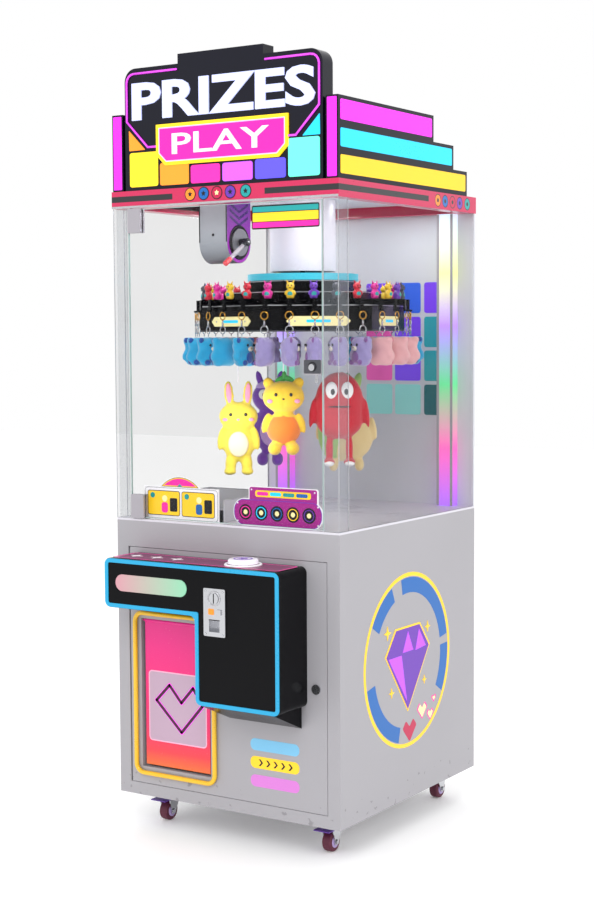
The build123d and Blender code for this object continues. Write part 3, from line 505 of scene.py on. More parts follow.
# ---- camera, floor and light
def studio():
    yaw, pitch, roll = radians(32.90), radians(-4.09), radians(-0.31)
    ahead = Vector((-sin(yaw) * cos(pitch), cos(yaw) * cos(pitch), sin(pitch)))
    level = Vector((cos(yaw), sin(yaw), 0))
    above = level.cross(ahead)
    right = level * cos(roll) + above * sin(roll)
    up = above * cos(roll) - level * sin(roll)
    data = bpy.data.cameras.new("camera")
    data.lens, data.sensor_width = 65.49, 36
    camera = bpy.data.objects.new("camera", data)
    camera.matrix_world = Matrix((
        (right.x, up.x, -ahead.x, 2.576), (right.y, up.y, -ahead.y, -3.999),
        (right.z, up.z, -ahead.z, 1.406), (0, 0, 0, 1)))
    bpy.context.collection.objects.link(camera)
    bpy.context.scene.camera = camera
    bpy.context.scene.view_settings.view_transform = "Standard"

    floor = bpy.data.meshes.new("floor")
    sheet = bmesh.new()
    bmesh.ops.create_grid(sheet, x_segments=2, y_segments=2, size=14)
    bmesh.ops.translate(sheet, vec=(0, 0, -0.0005), verts=sheet.verts)
    sheet.to_mesh(floor)
    sheet.free()
    white = moulded("floor_white", "ffffff", rough=0.6, vary=0.01, grain=30, glow=0.1, shine=0.2)
    floor.materials.append(white)
    ground = bpy.data.objects.new("floor", floor)
    bpy.context.collection.objects.link(ground)

    world = bpy.data.worlds.new("studio")
    bpy.context.scene.world = world
    world.use_nodes = True
    world.node_tree.nodes["Background"].inputs[0].default_value = (1, 1, 1, 1)
    world.node_tree.nodes["Background"].inputs[1].default_value = 1.0
    lamp("key", (1.2, -4.2, 3.6), (0, 0, 1.0), 2.6, 62)
    lamp("fill", (4.2, -0.6, 2.4), (0.2, 0, 1.0), 2.4, 28)
    lamp("rim", (-3.2, 2.6, 3.2), (0, 0, 1.2), 2.0, 30)
    ceiling = span("roof_panel").z0 * MM - 0.012
    for x in (-0.2, 0.2):
        for y in (-0.2, 0.2):
            lamp("cabin", (x, y, ceiling), (x * 0.7, y * 0.7, 1.0), 0.12, 0.7)
    lamp("cabin_low", (0.0, -0.31, 1.15), (0.0, 0.35, 1.2), 0.25, 0.4)


def lamp(name, place, target, size, power):
    data = bpy.data.lights.new(name, "AREA")
    data.shape, data.size, data.energy = "DISK", size, power
    light = bpy.data.objects.new(name, data)
    light.location = place
    way = Vector(target) - Vector(place)
    light.rotation_euler = way.to_track_quat("-Z", "Y").to_euler()
    bpy.context.collection.objects.link(light)


# ---- finishes shared by several pieces
satin = cabinet_paint()
black = moulded("gloss_black", "050508", rough=0.22, vary=0.3, shine=0.12)
dark_trim = moulded("dark_trim", "1d1d23", rough=0.45, shine=0.3)
# white_print_glow to teal below give off a set glow: on the marquee and the side light boxes that is their
# lamps; on the decals, badges, stickers, boards, plates, flap and figures of unlit parts it is painted light
white_print_glow = moulded("white_print_glow", "f4f2f6", rough=0.35, glow=0.1)
cream = moulded("cream_print_glow", "f6e9a6", rough=0.4, glow=0.25)
yellow = moulded("yellow_print_glow", "f6c81e", rough=0.35, glow=0.25)
orange = moulded("orange_print_glow", "f58a1f", rough=0.35, glow=0.25)
hot_pink = moulded("hot_pink_print_glow", "f0189c", rough=0.35, glow=0.3)
magenta = moulded("magenta_lit", "f223ea", rough=0.35, glow=0.45)
orchid = moulded("orchid_print_glow", "b84af0", rough=0.35, glow=0.3)
cyan = moulded("cyan_lit", "12bde6", rough=0.3, glow=0.6)
lavender = moulded("lavender_lit", "c6cdfb", rough=0.3, glow=0.45)
blue = moulded("blue_print_glow", "0064b4", rough=0.35, glow=0.05)
crimson = moulded("crimson_print", "c4104a", rough=0.35)
maroon = moulded("maroon_line", "3a0a22", rough=0.4)
purple = moulded("purple_print", "6b2fb3", rough=0.35)
teal = moulded("teal_print_glow", "149a9a", rough=0.35, glow=0.1)
silver = brushed("brushed_silver", "c9c9cd", rough=0.28, stretch=(1, 1, 30))
chrome = moulded("bright_zinc", "c4c5c9", rough=0.2, metal=1.0, vary=0.05)
gold = moulded("gold_plate", "d9a441", rough=0.22, metal=1.0)
eye_black = moulded("eye_black", "08080a", rough=0.12, coat=0.5)
eye_white = moulded("eye_white", "f5f5f5", rough=0.3)


def frame_finishes():
    paint_node(satin, "base_side_panels", "base_floor", "front_frame", "service_door_panel")
    paint_node(back_paint(), "base_back")
    paint_node(moulded("deck_white", "d8d6de", rough=0.3), "deck_panel")
    paint_node(brushed("chute_steel", "a5a6aa"), "prize_chute", "cash_box")
    paint_node(moulded("supply_case", "3c3d42", rough=0.5), "power_supply", "control_box", "drum_base")
    paint_node(clear("clear_pane", "0d1014"), "glass_pane", "side_glass")
    paint_node(clear("clear_guard", "8f959c", least=0.12, edge=0.5), "corner_guards")
    paint_node(graded("led_gradient", 2, 886, 1755, (0.0, "a86cf0"), (0.2, "f062b4"), (0.42, "5fd08a"),
                      (0.62, "b48af5"), (0.8, "eaf59a"), (1.0, "dcecff"), rough=0.4, glow=0.7), "led_columns")
    paint_node(moulded("back_wall_pale", "d3d5dc", rough=0.35), "back_wall")
    paint_node(header_paint(), "header_frame")
    paint_node(moulded("roof_white", "e9e9ee", rough=0.5), "roof_panel")
    paint_node(moulded("marquee_navy", "08091a", rough=0.2, vary=0.3, shine=0.3),
               "marquee_box", "side_light_boxes")
    paint_node(white_print_glow, "sign_boards")
    paint_node(moulded("column_white", "e6e3ee", rough=0.3), "carousel_column")
    paint_node(moulded("motor_case", "46474d", rough=0.4, metal=0.6), "carousel_motor")
    paint_node(moulded("flange_grey", "8d8e95", rough=0.35, metal=0.4), "striker_motor")
    # the grey housing is painted darker towards the pivot and paler towards the ceiling: painted shade
    paint_node(graded("striker_painted_shade", 2, 1600, 1786,
                      (0.0, "6c6e76"), (0.35, "a7aeb6"), (1.0, "c9d0d8"), rough=0.35), "striker_housing")
    paint_node(chrome, "coin_acceptor", "coin_return", "service_lock", "glass_lock", "caster_plates",
               *[f"fork_{place}" for place in CORNERS])
    paint_node(black, "console_shell", "drum_shell")
    paint_node(moulded("trim_cyan", "1699c6", rough=0.3, glow=0.22), "console_trim")
    paint_node(moulded("ring_cyan", "35b4cc", rough=0.3, glow=0.3), "drum_light_ring")
    paint_node(graded("light_bar_gradient", 0, -270, -28, (0.0, "c98f9b"), (1.0, "86c9a5"), glow=0.12),
               "light_bar")
    paint_node(moulded("yellow_tube", "f5c21a", rough=0.3, coat=0.3), "prize_frame")
    paint_node(graded("flap_gradient", 2, 185, 600, (0.0, "f26a1e"), (0.1, "f2323f"), (0.28, "ea0560"),
                      (1.0, "f0058c"), rough=0.25, coat=0.3), "prize_flap")
    paint_node(moulded("button_dome", "efe9f4", rough=0.18, coat=0.6, glow=0.35), "play_button")
    paint_node(moulded("hinge_satin", "a9a5ac", rough=0.35, metal=0.25), "glass_fittings")
    paint_node(moulded("tread_maroon", "5c1c34", rough=0.6), *[f"wheel_{place}" for place in CORNERS])
    paint_node(moulded("pedal_purple", "5a2a9a", rough=0.4), "pedal_front_left", "pedal_front_right")


CORNERS = ("front_left", "front_right", "rear_left", "rear_right")


# ---- signs
def marquee():
    box = span("marquee_box")
    face = on_front(0, box.y0, box.z0)
    lit = [moulded("lit_" + name, code, rough=0.35, glow=0.55) for name, code in
           (("yellow", "f7d21c"), ("orange", "f98d1f"), ("pink", "f5209c"), ("orchid", "bd52f5"),
            ("indigo", "5348ea"), ("mint", "5fe6c6"), ("cyan", "18c2ee"))]
    blocks = Piece("marquee_blocks", "cabinet", "sign_box", *lit)
    row = ((-308, -210, 104), (-203, -105, 71), (-98, -1, 59), (7, 105, 59), (113, 210, 62), (218, 315, 110))
    for look, (left, right, height) in enumerate(row):
        blocks.add(oblong(left, right, 10, height, 1.2, corner=7), face, look)
    blocks.add(slab([(262, 114), (316, 114), (315, 168)], 1.2, corner=2), face, 6)
    blocks.add(slab([(-309, 110), (-254, 111), (-310, 166)], 1.2, corner=2), face, 1)
    blocks.done()

    neon = Piece("marquee_neon", "cabinet", "cyan_light",
                 moulded("neon_magenta", "d944e2", rough=0.3, glow=0.4))
    for side, tab, plaque in ((-1, -143, -206), (1, 149, 214)):
        bend = [(side * u, v) for u, v in reversed(arc(290, 295, 25, 0, 90, 4))]
        neon.line([(tab, 320)] + bend + [(side * 315, 190), (side * 243, 117), (plaque, 117)], 3, face)
    neon.done()

    words = Piece("marquee_letters", "cabinet", "sign_box", lavender)
    words.add(letters("PRIZES", 600, 104, 4, heavy=0.03), on_front(3, box.y0, box.z0 + 243))
    words.done()

    plaque = Piece("marquee_plaque", "cabinet", "sign_box", lit[0],
                   moulded("plaque_line", "fbb0e0", rough=0.35, glow=0.4),
                   moulded("plaque_field", "d815a4", rough=0.35, glow=0.3), white_print_glow)
    outline = [(-212, 175), (-212, 93), (-182, 64), (189, 64), (220, 93), (220, 175)]
    plaque.add(banded(slab(outline, 6), 0, (9, 1), (3, 2)), on_front(0, box.y0, box.z0), None)
    plaque.add(letters("PLAY", 318, 56, 4, heavy=0.01), on_front(3, box.y0 - 5, box.z0 + 120), 3)
    plaque.done()


def side_signs():
    box = span("side_light_boxes")
    signs = Piece("side_signs", "cabinet", "sign_box", black, magenta, cyan, yellow)
    for side in (-1, 1):
        face = on_side(side, side * box.x1, box.y0, box.z0)
        for low, high, reach, look in ((150, 202, 505, 1), (81, 129, 626, 2), (13, 61, 711, 3)):
            signs.add(oblong(11, reach, low, high, 0.6, corner=5), face, look)
        left, right = sorted((side * 333, side * 370))
        strip = oblong(left + 3, right - 3, 4, 208, 0.6, corner=3)
        signs.add(banded(strip, 0, (1.0, 1)), on_front(0, box.y0, box.z0), None)
    signs.done()


def header_trim():
    band = span("header_frame")
    trim = Piece("header_badges", "cabinet", "crimson_paint", dark_trim, orange, blue, crimson, purple, teal,
                 cream, silver)
    for index, x in enumerate((-99, -54, -10, 34, 84)):
        face = on_front(x, band.y0, 1783)
        trim.add(rod(18, 0.8), face, 0)
        trim.add(rod(15.5, 1.3, soft=0.4), face, index + 1, True)
        trim.add(slab(star(0, 0, 8, 5, 0.5, pi / 2), 1.7), face, 6 if index == 2 else 0)
    trim.add(oblong(band.x0 + 1, band.x1 - 1, band.z0, band.z0 + 6, 1.2, soft=0.4), on_front(0, band.y0, 0), 7)
    for step in range(13):
        screw = on_front(band.x0 + 25 + step * 58, band.y0, band.z0 + 3)
        trim.add(rod(2.2, 2.2, 1.6, segments=12), screw, 7, True)
    trim.done()


def glass_label():
    pane = span("glass_pane")
    label = Piece("glass_stripes", "glass_door", "sign_box", dark_trim, hot_pink, yellow, teal)
    face = on_front(0, pane.y0, 1680)
    label.add(oblong(100, 312, 0, 63, PAINT, corner=5), face, 0)
    for look, (low, high) in enumerate(((4, 18), (20, 43), (45, 59)), 1):
        label.add(oblong(103, 309, low, high, 2 * PAINT, corner=2), face, look)
    label.done()
    lock = span("glass_lock")
    plate = Piece("lock_plate", "glass_door", "zinc",
                  moulded("lock_grey", "58595f", rough=0.3, metal=0.8), dark_trim)
    middle = on_front(lock.mid_x, pane.y0 - 6, lock.z1 - 7)
    plate.add(banded(oblong(-26, 26, -18, 18, 0.8, corner=3), 0), middle, None)
    plate.add(lathe([(9.6, 0), (13, 0), (13, 1.6), (9.6, 2.2), (9.6, 0)]), middle, 1, True)
    plate.done()
    rims = Piece("pane_edges", "glass_door", "acrylic", moulded("polished_edge", "a9c2bd", rough=0.2))
    depth, tall = pane.y1 - pane.y0 + 0.2, pane.z1 - pane.z0
    for x in (pane.x0 + 0.6, pane.x1 - 0.6):
        rims.add(brick(1.4, depth, tall, 0.3), at(x, pane.mid_y, pane.mid_z), 0)
    for z in (pane.z0 + 0.6, pane.z1 - 0.6):
        rims.add(brick(pane.x1 - pane.x0 - 2, depth, 1.4, 0.3), at(0, pane.mid_y, z), 0)
    rims.done()


def board_prints():
    board_box = span("sign_boards")
    plum = moulded("plum_print", "a8108c", rough=0.35)
    board = Piece("board_prints", "cabinet", "white_board",
                  white_print_glow, silver, yellow, dark_trim, hot_pink, teal, plum, cyan, cream, blue, purple)
    face = on_front(0, board_box.y0, board_box.z0)
    board.add(banded(oblong(-285, -32, 2, 91, PAINT, corner=10), 1, (2.5, 0)), face, None)
    board.add(banded(slab(arc(-162, 31, 90, 44, 136), PAINT), 3, (1.2, 2), (2.5, 4)), face, None)
    board.add(slab([(-171, 95), (-153, 95), (-162, 103)], 2 * PAINT), face, 5)
    for index, left in enumerate((-275, -156)):
        board.add(banded(oblong(left, left + 113, 12, 82, 2 * PAINT, corner=7), 3, (2, 2)), face, None)
        board.add(rod(9, 0.9, segments=24), face @ shift(left + 60, 60, 0), 8)
        board.add(oblong(left + 49, left + 71, 20, 49, 0.9, corner=7), face, (4, 9)[index])
        board.add(oblong(left + 78, left + 104, 24, 62, 0.9, corner=4), face, 3)
        board.add(rod(8, 1.1, segments=24), face @ shift(left + 18, 68, 0), 5)
    board.add(banded(oblong(22, 304, 2, 72, PAINT, corner=32, steps=8), 10, (2, 6)), face, None)
    board.add(oblong(73, 289, 66, 106, 0.8 * PAINT, corner=6), face, 6)
    board.add(oblong(92, 270, 80, 98, 2 * PAINT, corner=6), face, 2)
    for index, look in enumerate((4, 7, 5, 9)):
        board.add(oblong(98 + index * 42, 134 + index * 42, 84, 94, 3 * PAINT, corner=4), face, look)
    for index, look in enumerate((4, 7, 9, 2, 10)):
        spot = face @ shift(60 + index * 51, 37, 0)
        board.add(rod(21, 0.8, segments=30), spot, 3)
        board.add(hoop(15, 1.4, steps=26, around=6), spot @ shift(0, 0, 0.8), look, True)
        board.add(ball(7, 7, 1.6, 16, 8), spot @ shift(0, 0, 0.6), 8, True)
    for u, v in ((80, 99), (282, 99), (34, 61), (292, 61), (34, 12), (292, 12)):
        board.add(rod(2.6, 1.2, 2.0, segments=12), face @ shift(u, v, 0), 0, True)
    board.done()


# ---- base graphics
def gem(piece, face, u, v, size, looks):
    """A cut stone, drawn as facets."""
    body, light, line = looks
    crown = [(-1, 0.35), (-0.55, 0.9), (0.55, 0.9), (1, 0.35), (0, -1)]
    piece.add(slab([(u + a * size * 1.05, v + b * size * 1.05) for a, b in crown], 1.0), face, line)
    piece.add(slab([(u + a * size, v + b * size) for a, b in crown], 1.3), face, body)
    for points in ([(-0.9, 0.3), (-0.3, 0.3), (-0.05, -0.8)], [(-0.25, 0.35), (0.25, 0.35), (0, 0.82)],
                   [(0.35, 0.32), (0.85, 0.36), (0.52, 0.8)]):
        piece.add(slab([(u + a * size, v + b * size) for a, b in points], 1.6), face, light)


def heart(u, v, width, height):
    """A heart's outline from straight runs and softened corners."""
    half = width / 2
    return [(u, v - height * 0.55), (u + half, v + height * 0.12), (u + half * 0.52, v + height * 0.45),
            (u, v + height * 0.13), (u - half * 0.52, v + height * 0.45), (u - half, v + height * 0.12)]


def arc_band(inner, outer, start, end):
    """A flat curved band between two radii and two angles in degrees."""
    steps = max(3, ceil((end - start) / 6))
    return arc(0, 0, outer, start, end, steps) + arc(0, 0, inner, end, start, steps)


def side_graphics():
    panel = span("base_side_panels")
    prints = Piece("side_graphics", "cabinet", "cabinet_paint", yellow, blue, crimson, purple, orchid, cream,
                   hot_pink)
    for side in (-1, 1):
        face = on_side(side, side * panel.x1, -20, 490)
        for start in (0, 90, 180, 270):
            prints.add(slab(arc_band(236, 247, start, start + 90), PAINT), face, 0)
        for start, end in ((10, 100), (113.6, 149), (192, 256), (-32, 3.5)):
            prints.add(slab(arc_band(190, 233, start, end), PAINT), face, 1)
        prints.add(slab(heart(7, -200, 80, 63), PAINT, corner=6), face, 2)
        for u, v, size in ((80, -158, 62), (128, -178, 44), (150, -136, 30)):
            prints.add(slab(heart(u, v, size, size * 0.8), PAINT, corner=4), face, 6)
            prints.add(slab(heart(u, v, size - 12, (size - 12) * 0.8), 2 * PAINT, corner=3), face, 5)
        gem(prints, face, -4, -18, 122, (3, 4, 0))
        for u, v, size in ((-118, 92, 20), (112, 78, 16), (92, -72, 13), (-96, -78, 15)):
            prints.add(slab(star(u, v, size), 1.6), face, 0)
    prints.done()


def door_stickers():
    front = span("front_frame").y0
    pills = Piece("door_stickers", "service_door", "cabinet_paint",
                  moulded("sky_sticker", "7cc4ea", rough=0.35), yellow,
                  moulded("orchid_sticker", "dc7fd8", rough=0.35), dark_trim)
    for look, z in enumerate((293, 244, 193)):
        pill = oblong(-79, 79, -16.5, 16.5, PAINT, corner=15, steps=6)
        pills.add(pill, on_front(PILL_MIDDLE, front, z), look)
    for index in range(5):
        u = -52 + index * 24
        arrow = [(u, -9), (u + 6, -9), (u + 14, 0), (u + 6, 9), (u, 9), (u + 8, 0)]
        pills.add(slab(arrow, 2 * PAINT), on_front(PILL_MIDDLE, front, 244), 3)
    pills.done()


def flap_prints():
    flap = span("prize_flap")
    middle = flap.mid_x
    front = flap.y0 + 3.0
    panel = Piece("flap_panel", "prize_flap", "flap_acrylic", hot_pink,
                  moulded("frosted_pink", "bfa3b8", rough=0.5),
                  moulded("pale_pink_line", "f7b4d2", rough=0.3), maroon, magenta)
    face = on_front(middle, front, 356)
    panel.add(banded(oblong(-101, 101, -101, 101, PAINT, corner=12), 2, (3.5, 1)), face, None)
    loop = [(14, -66), (101 - 14, 17), (55, 64), (14, 18), (-27, 64), (-73, 17)]
    for width, lift, look in ((5.6, 1.0, 4), (4.2, 1.4, 3)):
        closed = loop + loop[:1]
        for (ua, va), (ub, vb) in zip(closed, closed[1:]):
            length = ((ub - ua) ** 2 + (vb - va) ** 2) ** 0.5
            swing = Matrix.Rotation(atan2(vb - va, ub - ua), 4, "Z")
            stroke = oblong(-width, length + width, -width, width, lift, corner=width * 0.9)
            panel.add(stroke, face @ shift(ua, va, 0) @ swing, look)
    panel.done()


# ---- console
def console_dress():
    shell = span("console_shell")
    top = Piece("console_top_panel", "service_door", "gloss_black", black, hot_pink,
                moulded("deep_magenta", "7c0f58", rough=0.3), white_print_glow)
    sheet = oblong(shell.x0 + 12, shell.x1 - 12, shell.y0 + 12, shell.y1 - 10, 0.6, corner=14)
    top.add(banded(sheet, 0, (3, 1), (5, 2)), shift(0, 0, shell.z1), None)
    bx, by = button_place()
    top.add(lathe([(46, 0), (51, 0), (51, 3), (49, 5), (46, 5), (44.5, 3), (44.5, 0), (46, 0)]),
            shift(bx, by, shell.z1 + 0.5), 3, True)
    for x in (shell.x0 + 60, shell.x0 + 130, shell.x0 + 200):
        top.add(slab(star(x, by, 22, waist=0.35), 1.2), shift(0, 0, shell.z1), 3)
    top.done()
    cap = Piece("button_print", "play_button", "button_white", purple, orchid)
    high = span("play_button").z1
    cap.add(lathe([(22, 0), (26, 0), (26, 0.5), (22, 0.5), (22, 0)]), shift(bx, by, high), 0)
    cap.add(slab(star(0, 0, 16, 5, 0.5), 0.5), shift(bx, by, high), 0)
    cap.done()

    acceptor = span("coin_acceptor")
    mid = acceptor.mid_x
    coin = Piece("coin_details", "service_door", "zinc", chrome, dark_trim, silver, orange)
    plate = acceptor.y0 + 3
    for u in (acceptor.x0 + 7, acceptor.x1 - 7):
        for v in (acceptor.z0 + 7, acceptor.z1 - 7):
            coin.add(lathe([(0, 1.8), (2.4, 1.4), (3.2, 0), (0, 0)], 16), on_front(u, plate, v), 0, True)
    slot_ring = lathe([(17, 0), (20, 0), (20, 2), (17, 3), (17, 0)])
    coin.add(slot_ring, on_front(mid, plate, acceptor.z1 - 26), 2, True)
    coin.add(oblong(-13, 5, -8, 8, 0.8, corner=2), on_front(mid - 6, plate, acceptor.mid_z + 2), 3)
    coin.add(oblong(-17, 17, -1.2, 1.2, 1.6), on_front(mid, plate, acceptor.z0 + 44), 1)
    coin.done()


def button_place():
    button = span("play_button")
    return button.mid_x, button.mid_y


# ---- cabin
def cabin_dress():
    wall_box = span("back_wall")
    # the coloured squares on the back wall glow faintly: painted light
    colours = [moulded("glowing_tile_" + name, code, rough=0.3, glow=0.12) for name, code in
               (("blue", "2f62e0"), ("violet", "7a3ff0"), ("teal", "1d9fa8"), ("deep_teal", "12666e"),
                ("pink", "ee5ab4"), ("pale_teal", "8fd9d4"))]
    wall = Piece("back_wall_tiles", "cabinet", "white_board", *colours)
    for z, row in ((1464, (1, 0, 1)), (1361, (4, 1, 2)), (1259, (4, 1, 2)), (1156, (5, 5, 3))):
        for column, look in enumerate(row):
            tile = oblong(2 + column * TILE_STEP, 93 + column * 99, z, z + TILE_TALL, 0.8, corner=8)
            wall.add(tile, on_front(0, wall_box.y0, 0), look)
    wall.done()

    edges = Piece("cabin_edges", "cabinet", "acrylic", chrome, satin)
    guard = span("corner_guards")
    tall = guard.z1 - guard.z0
    # chrome strips along the clear corner guards' edges: painted highlight for the bright lines on the glass
    # edges
    for side in (-1, 1):
        for x in (guard.x1 - 0.9, guard.x1 - 46.1):
            edges.add(brick(1.8, 1.0, tall), at(side * x, guard.y0 - 0.3, guard.mid_z), 0)
        edges.add(brick(1.0, 1.8, tall), at(side * (guard.x1 + 0.3), guard.y1 - 0.9, guard.mid_z), 0)
    light = span("led_columns")
    for side in (-1, 1):
        for x in (light.x1 - 4, light.x1 - 49):
            edges.add(brick(8, 1.4, light.z1 - light.z0 - 2), at(side * x, light.y0 - 0.3, light.mid_z), 1)
    edges.done()

    roof = span("roof_panel")
    lights = Piece("ceiling_lights", "cabinet", "white_board", white_print_glow,
                   moulded("lamp_lens", "fff6dc", rough=0.3, glow=6.0), dark_trim)
    for x in (-290, 290):
        for y in (-188, 90):
            down = at(x, y, roof.z0, 180)
            lights.add(lathe([(20, 0), (26, 0), (26, 2), (22, 4), (20, 4), (20, 0)]), down, 0, True)
            lights.add(rod(20, 2.5, segments=28), down, 1, True)
    lights.done()

    deck = span("deck_panel")
    rim = Piece("chute_rim", "cabinet", "white_board", moulded("rim_grey", "c3c3c9", rough=0.35), silver)
    left, right, front, back = -290, -29, -347, -47
    for a, b, c, d in ((left - RIM_WALL, right + RIM_WALL, back, back + RIM_WALL),
                       (right, right + RIM_WALL, front, back), (left - RIM_WALL, left, front, back)):
        x, y = (a + b) / 2, (c + d) / 2
        rim.add(brick(b - a, d - c, RIM_TALL, 0.5), at(x, y, deck.z1 + 30.2), 0)
        rim.add(brick(b - a + 0.6, d - c + 0.6, 3, 0.6), at(x, y, deck.z1 + 61), 1)
    rim.done()


def striker_dress():
    housing = span("striker_housing")
    mid = housing.mid_y
    pivot = housing.z0 + (housing.y1 - housing.y0) / 2
    face = on_side(1, housing.x1, mid, pivot)
    dress = Piece("striker_face", "cabinet", "striker_paint",
                  graded("striker_purple", 2, 1602, 1786, (0.0, "b02fc0"), (1.0, "6b1fa0"), rough=0.3),
                  dark_trim, chrome, white_print_glow, moulded("striker_v", "3d1272", rough=0.3))
    top = housing.z1 - pivot - 1
    dress.add(slab(arc(0, 0, 56, 180, 360, 20) + [(56, top), (-56, top)], 0.8), face, 0)
    for rise in (52, 70, 88):
        chevron = [(-44, rise + 22), (0, rise), (44, rise + 22),
                   (44, rise + 14), (0, rise - 8), (-44, rise + 14)]
        dress.add(slab(chevron, 1.2), face, 4)
    dress.add(oblong(-46, 46, top - 10, top - 7, 1.4), face, 3)
    dress.add(lathe([(39, 0), (48, 0), (48, 2), (46, 3), (39, 3), (39, 0)]), face, 1, True)
    for x in (housing.x0 + 1.5, housing.x1 - 1.5):
        dress.add(brick(3, 1.2, housing.z1 - pivot), at(x, housing.y0 - 0.4, (housing.z1 + pivot) / 2), 1)
    dress.add(rod(4, 1.6, 3.2, segments=20), on_front(housing.mid_x, housing.y0, pivot + 20), 1, True)
    dress.done()

    rod_clear = clear("wand_clear", "e6e2ea", least=0.45, edge=0.5)
    wand = Piece("striker_wand", "striker_arm", "striker_tip",
                 moulded("hub_dark", "2c2c34", rough=0.3), rod_clear,
                 moulded("tip_red", "f0525c", rough=0.25, coat=0.3), chrome)
    hub = on_side(1, housing.x1 + HUB_GAP, mid, pivot)
    wand.add(rod(11, 27.7, soft=2.0), hub, 0, True)
    wand.add(rod(4, 24, segments=20), on_side(1, housing.x1 - 18, mid, pivot), 3, True)
    cap = lathe([(0, 1.6), (4, 1.2), (5, 0), (0, 0)], 20)
    wand.add(cap, on_side(1, housing.x1 + 34, mid, pivot), 3, True)
    drop, across = radians(STRIKER_DIP), housing.x1 + WAND_FROM_FACE

    def reach(distance):
        return across, mid - distance * cos(drop), pivot - distance * sin(drop)

    wand.add(rod(6, 82, soft=0.8), along(reach(8), reach(90)), 1, True)
    wand.add(rod(7.5, 30, soft=3.0), along(reach(90), reach(120)), 2, True)
    wand.add(rod(7.2, 10, soft=1.0), along(reach(9), reach(20)), 0, True)
    wand.done("striker_arm")


# ---- carousel
def hub_place():
    column = span("carousel_column")
    return shift(column.mid_x, column.mid_y, 0)


def spoke(index):
    return hub_place() @ turn(FIRST_HOOK + index * 360.0 / HOOKS)


def drum_dress():
    plates = Piece("drum_plates", "carousel", "cyan_light", cream, dark_trim, cyan, silver)
    apothem, top = DRUM_TIERS[0]
    for facet in range(6):
        faced = hub_place() @ turn(DRUM_FLAT + facet * 60)
        place = faced @ on_side(1, apothem, 0, top - 45.5)
        plate = slab([(-90, 0), (-76, 13.5), (76, 13.5), (90, 0), (76, -13.5), (-76, -13.5)], 2.0, soft=0.6)
        plates.add(plate, place, 0)
        for u in (-66, 66):
            plates.add(rod(3, 3.2, 2.2, segments=14), place @ shift(u, 0, 0), 3, True)
        plates.add(oblong(-34, 34, -4, 4, 2.6, corner=3), place, 2)
        # thin silver strips just under each tier's top edge: a painted highlight along the drum's edges
        for flat, rise in DRUM_TIERS:
            reach = flat * 0.577 - 1
            plates.add(oblong(-reach, reach, -3.2, -1.0, 0.5), faced @ on_side(1, flat, 0, rise), 3)
    plates.done()


def figure(piece, place, look):
    """A little imp with horns, a round belly and two feet, on its peg."""
    def part(shape, x, y, z, kind, tilt=0.0):
        piece.add(shape, place @ at(PEG_AT + x, y, LEVER_FOOT + LEVER_TALL + z, tilt), kind, True)
    belly = [(0, 0), (9, 0.5), (11.5, 7), (10.5, 17), (7.5, 25), (4, 28), (0, 28.5)]
    part(lathe(belly, 16), 0, 0, 0, look)
    part(ball(11.5, 11.5, 10.5, 16, 10), 0, 0, 33.5, look)
    for side in (-1, 1):
        part(rod(3.2, 10, 0.6, 10), 0, side * 6.5, 41, look, -side * 24)
        part(ball(4.2, 4.2, 7, 10, 7), 3, side * 11, 16, look, side * 20)
        part(ball(1.9, 1.9, 2.2, 8, 6), 10, side * 4.2, 35, 6)
    part(ball(4.0, 7.4, 8.0, 12, 8), 7.8, 0, 12, 5)
    part(ball(1.6, 3.6, 1.2, 8, 6), 10.6, 0, 29, 6)


def lever(piece, place, lift):
    """The lever under a figure: rounded heel, arm, finger and its rest."""
    half, axle = LEVER_WIDE / 2, LEVER_FOOT + LEVER_TALL / 2 + lift
    arm = slab([(HEEL_AT, 0), (NOSE_AT, 0), (NOSE_AT, LEVER_TALL), (HEEL_AT, LEVER_TALL)], LEVER_WIDE, soft=1.0)
    piece.add(arm, place @ at(0, half, LEVER_FOOT + lift, 90), 0)
    piece.add(rod(LEVER_TALL / 2, LEVER_WIDE, segments=24), place @ at(HEEL_AT, half, axle, 90), 0, True)
    piece.add(brick(5, LEVER_WIDE, 20, 0.8), place @ at(NOSE_AT - 2.5, 0, LEVER_FOOT - 8 + lift), 0)
    piece.add(brick(12.5, 5, 5, 0.8), place @ at(NOSE_AT + 1.25, 0, LEVER_FOOT - 15.5), 0)
    piece.add(rod(2.4, LEVER_WIDE + 1, segments=12), place @ at(HEEL_AT, half + 0.5, axle, 90), 7, True)


def figures():
    bodies = [moulded("imp_" + name, code, rough=0.35, coat=0.3) for name, code in
              (("red", "d5203a"), ("magenta", "e0289c"), ("yellow", "edc52a"), ("purple", "6c36b8"),
               ("slate", "3b3d4a"))]
    looks = (black, bodies[0], bodies[1], bodies[2], bodies[3], teal, eye_black, chrome, bodies[4])
    crowd = Piece("hook_figures", "carousel", "peg_black", *looks)
    for index in range(1, HOOKS):
        lever(crowd, spoke(index), 0)
        figure(crowd, spoke(index), (1, 2, 3, 4, 8)[index % 5])
    crowd.done("hook_levers")
    first = Piece("front_figure", "front_hook", "peg_black", *looks)
    lever(first, spoke(0), LEVER_GAP)
    figure(first, spoke(0), 1)
    first.done("front_hook")


def key_chains():
    chains = Piece("key_chains", "carousel", "zinc", gold, chrome)
    for index in range(HOOKS):
        place = spoke(index)
        for height, look in ((1453.7, 0), (1415, 1)):
            chains.add(hoop(10.5, 1.45, 24, 6), place @ at(RING_AT, 0, height, 90, "Y"), look, True)
        for shape, height in ((rod(2.6, 15, 2.2, 12), 1427), (ball(3.4, 3.4, 2.6, 12, 8), 1434),
                              (rod(1.4, 7, segments=8), 1397.3)):
            chains.add(shape, place @ at(RING_AT, 0, height), 1, True)
    chains.done("key_rings")


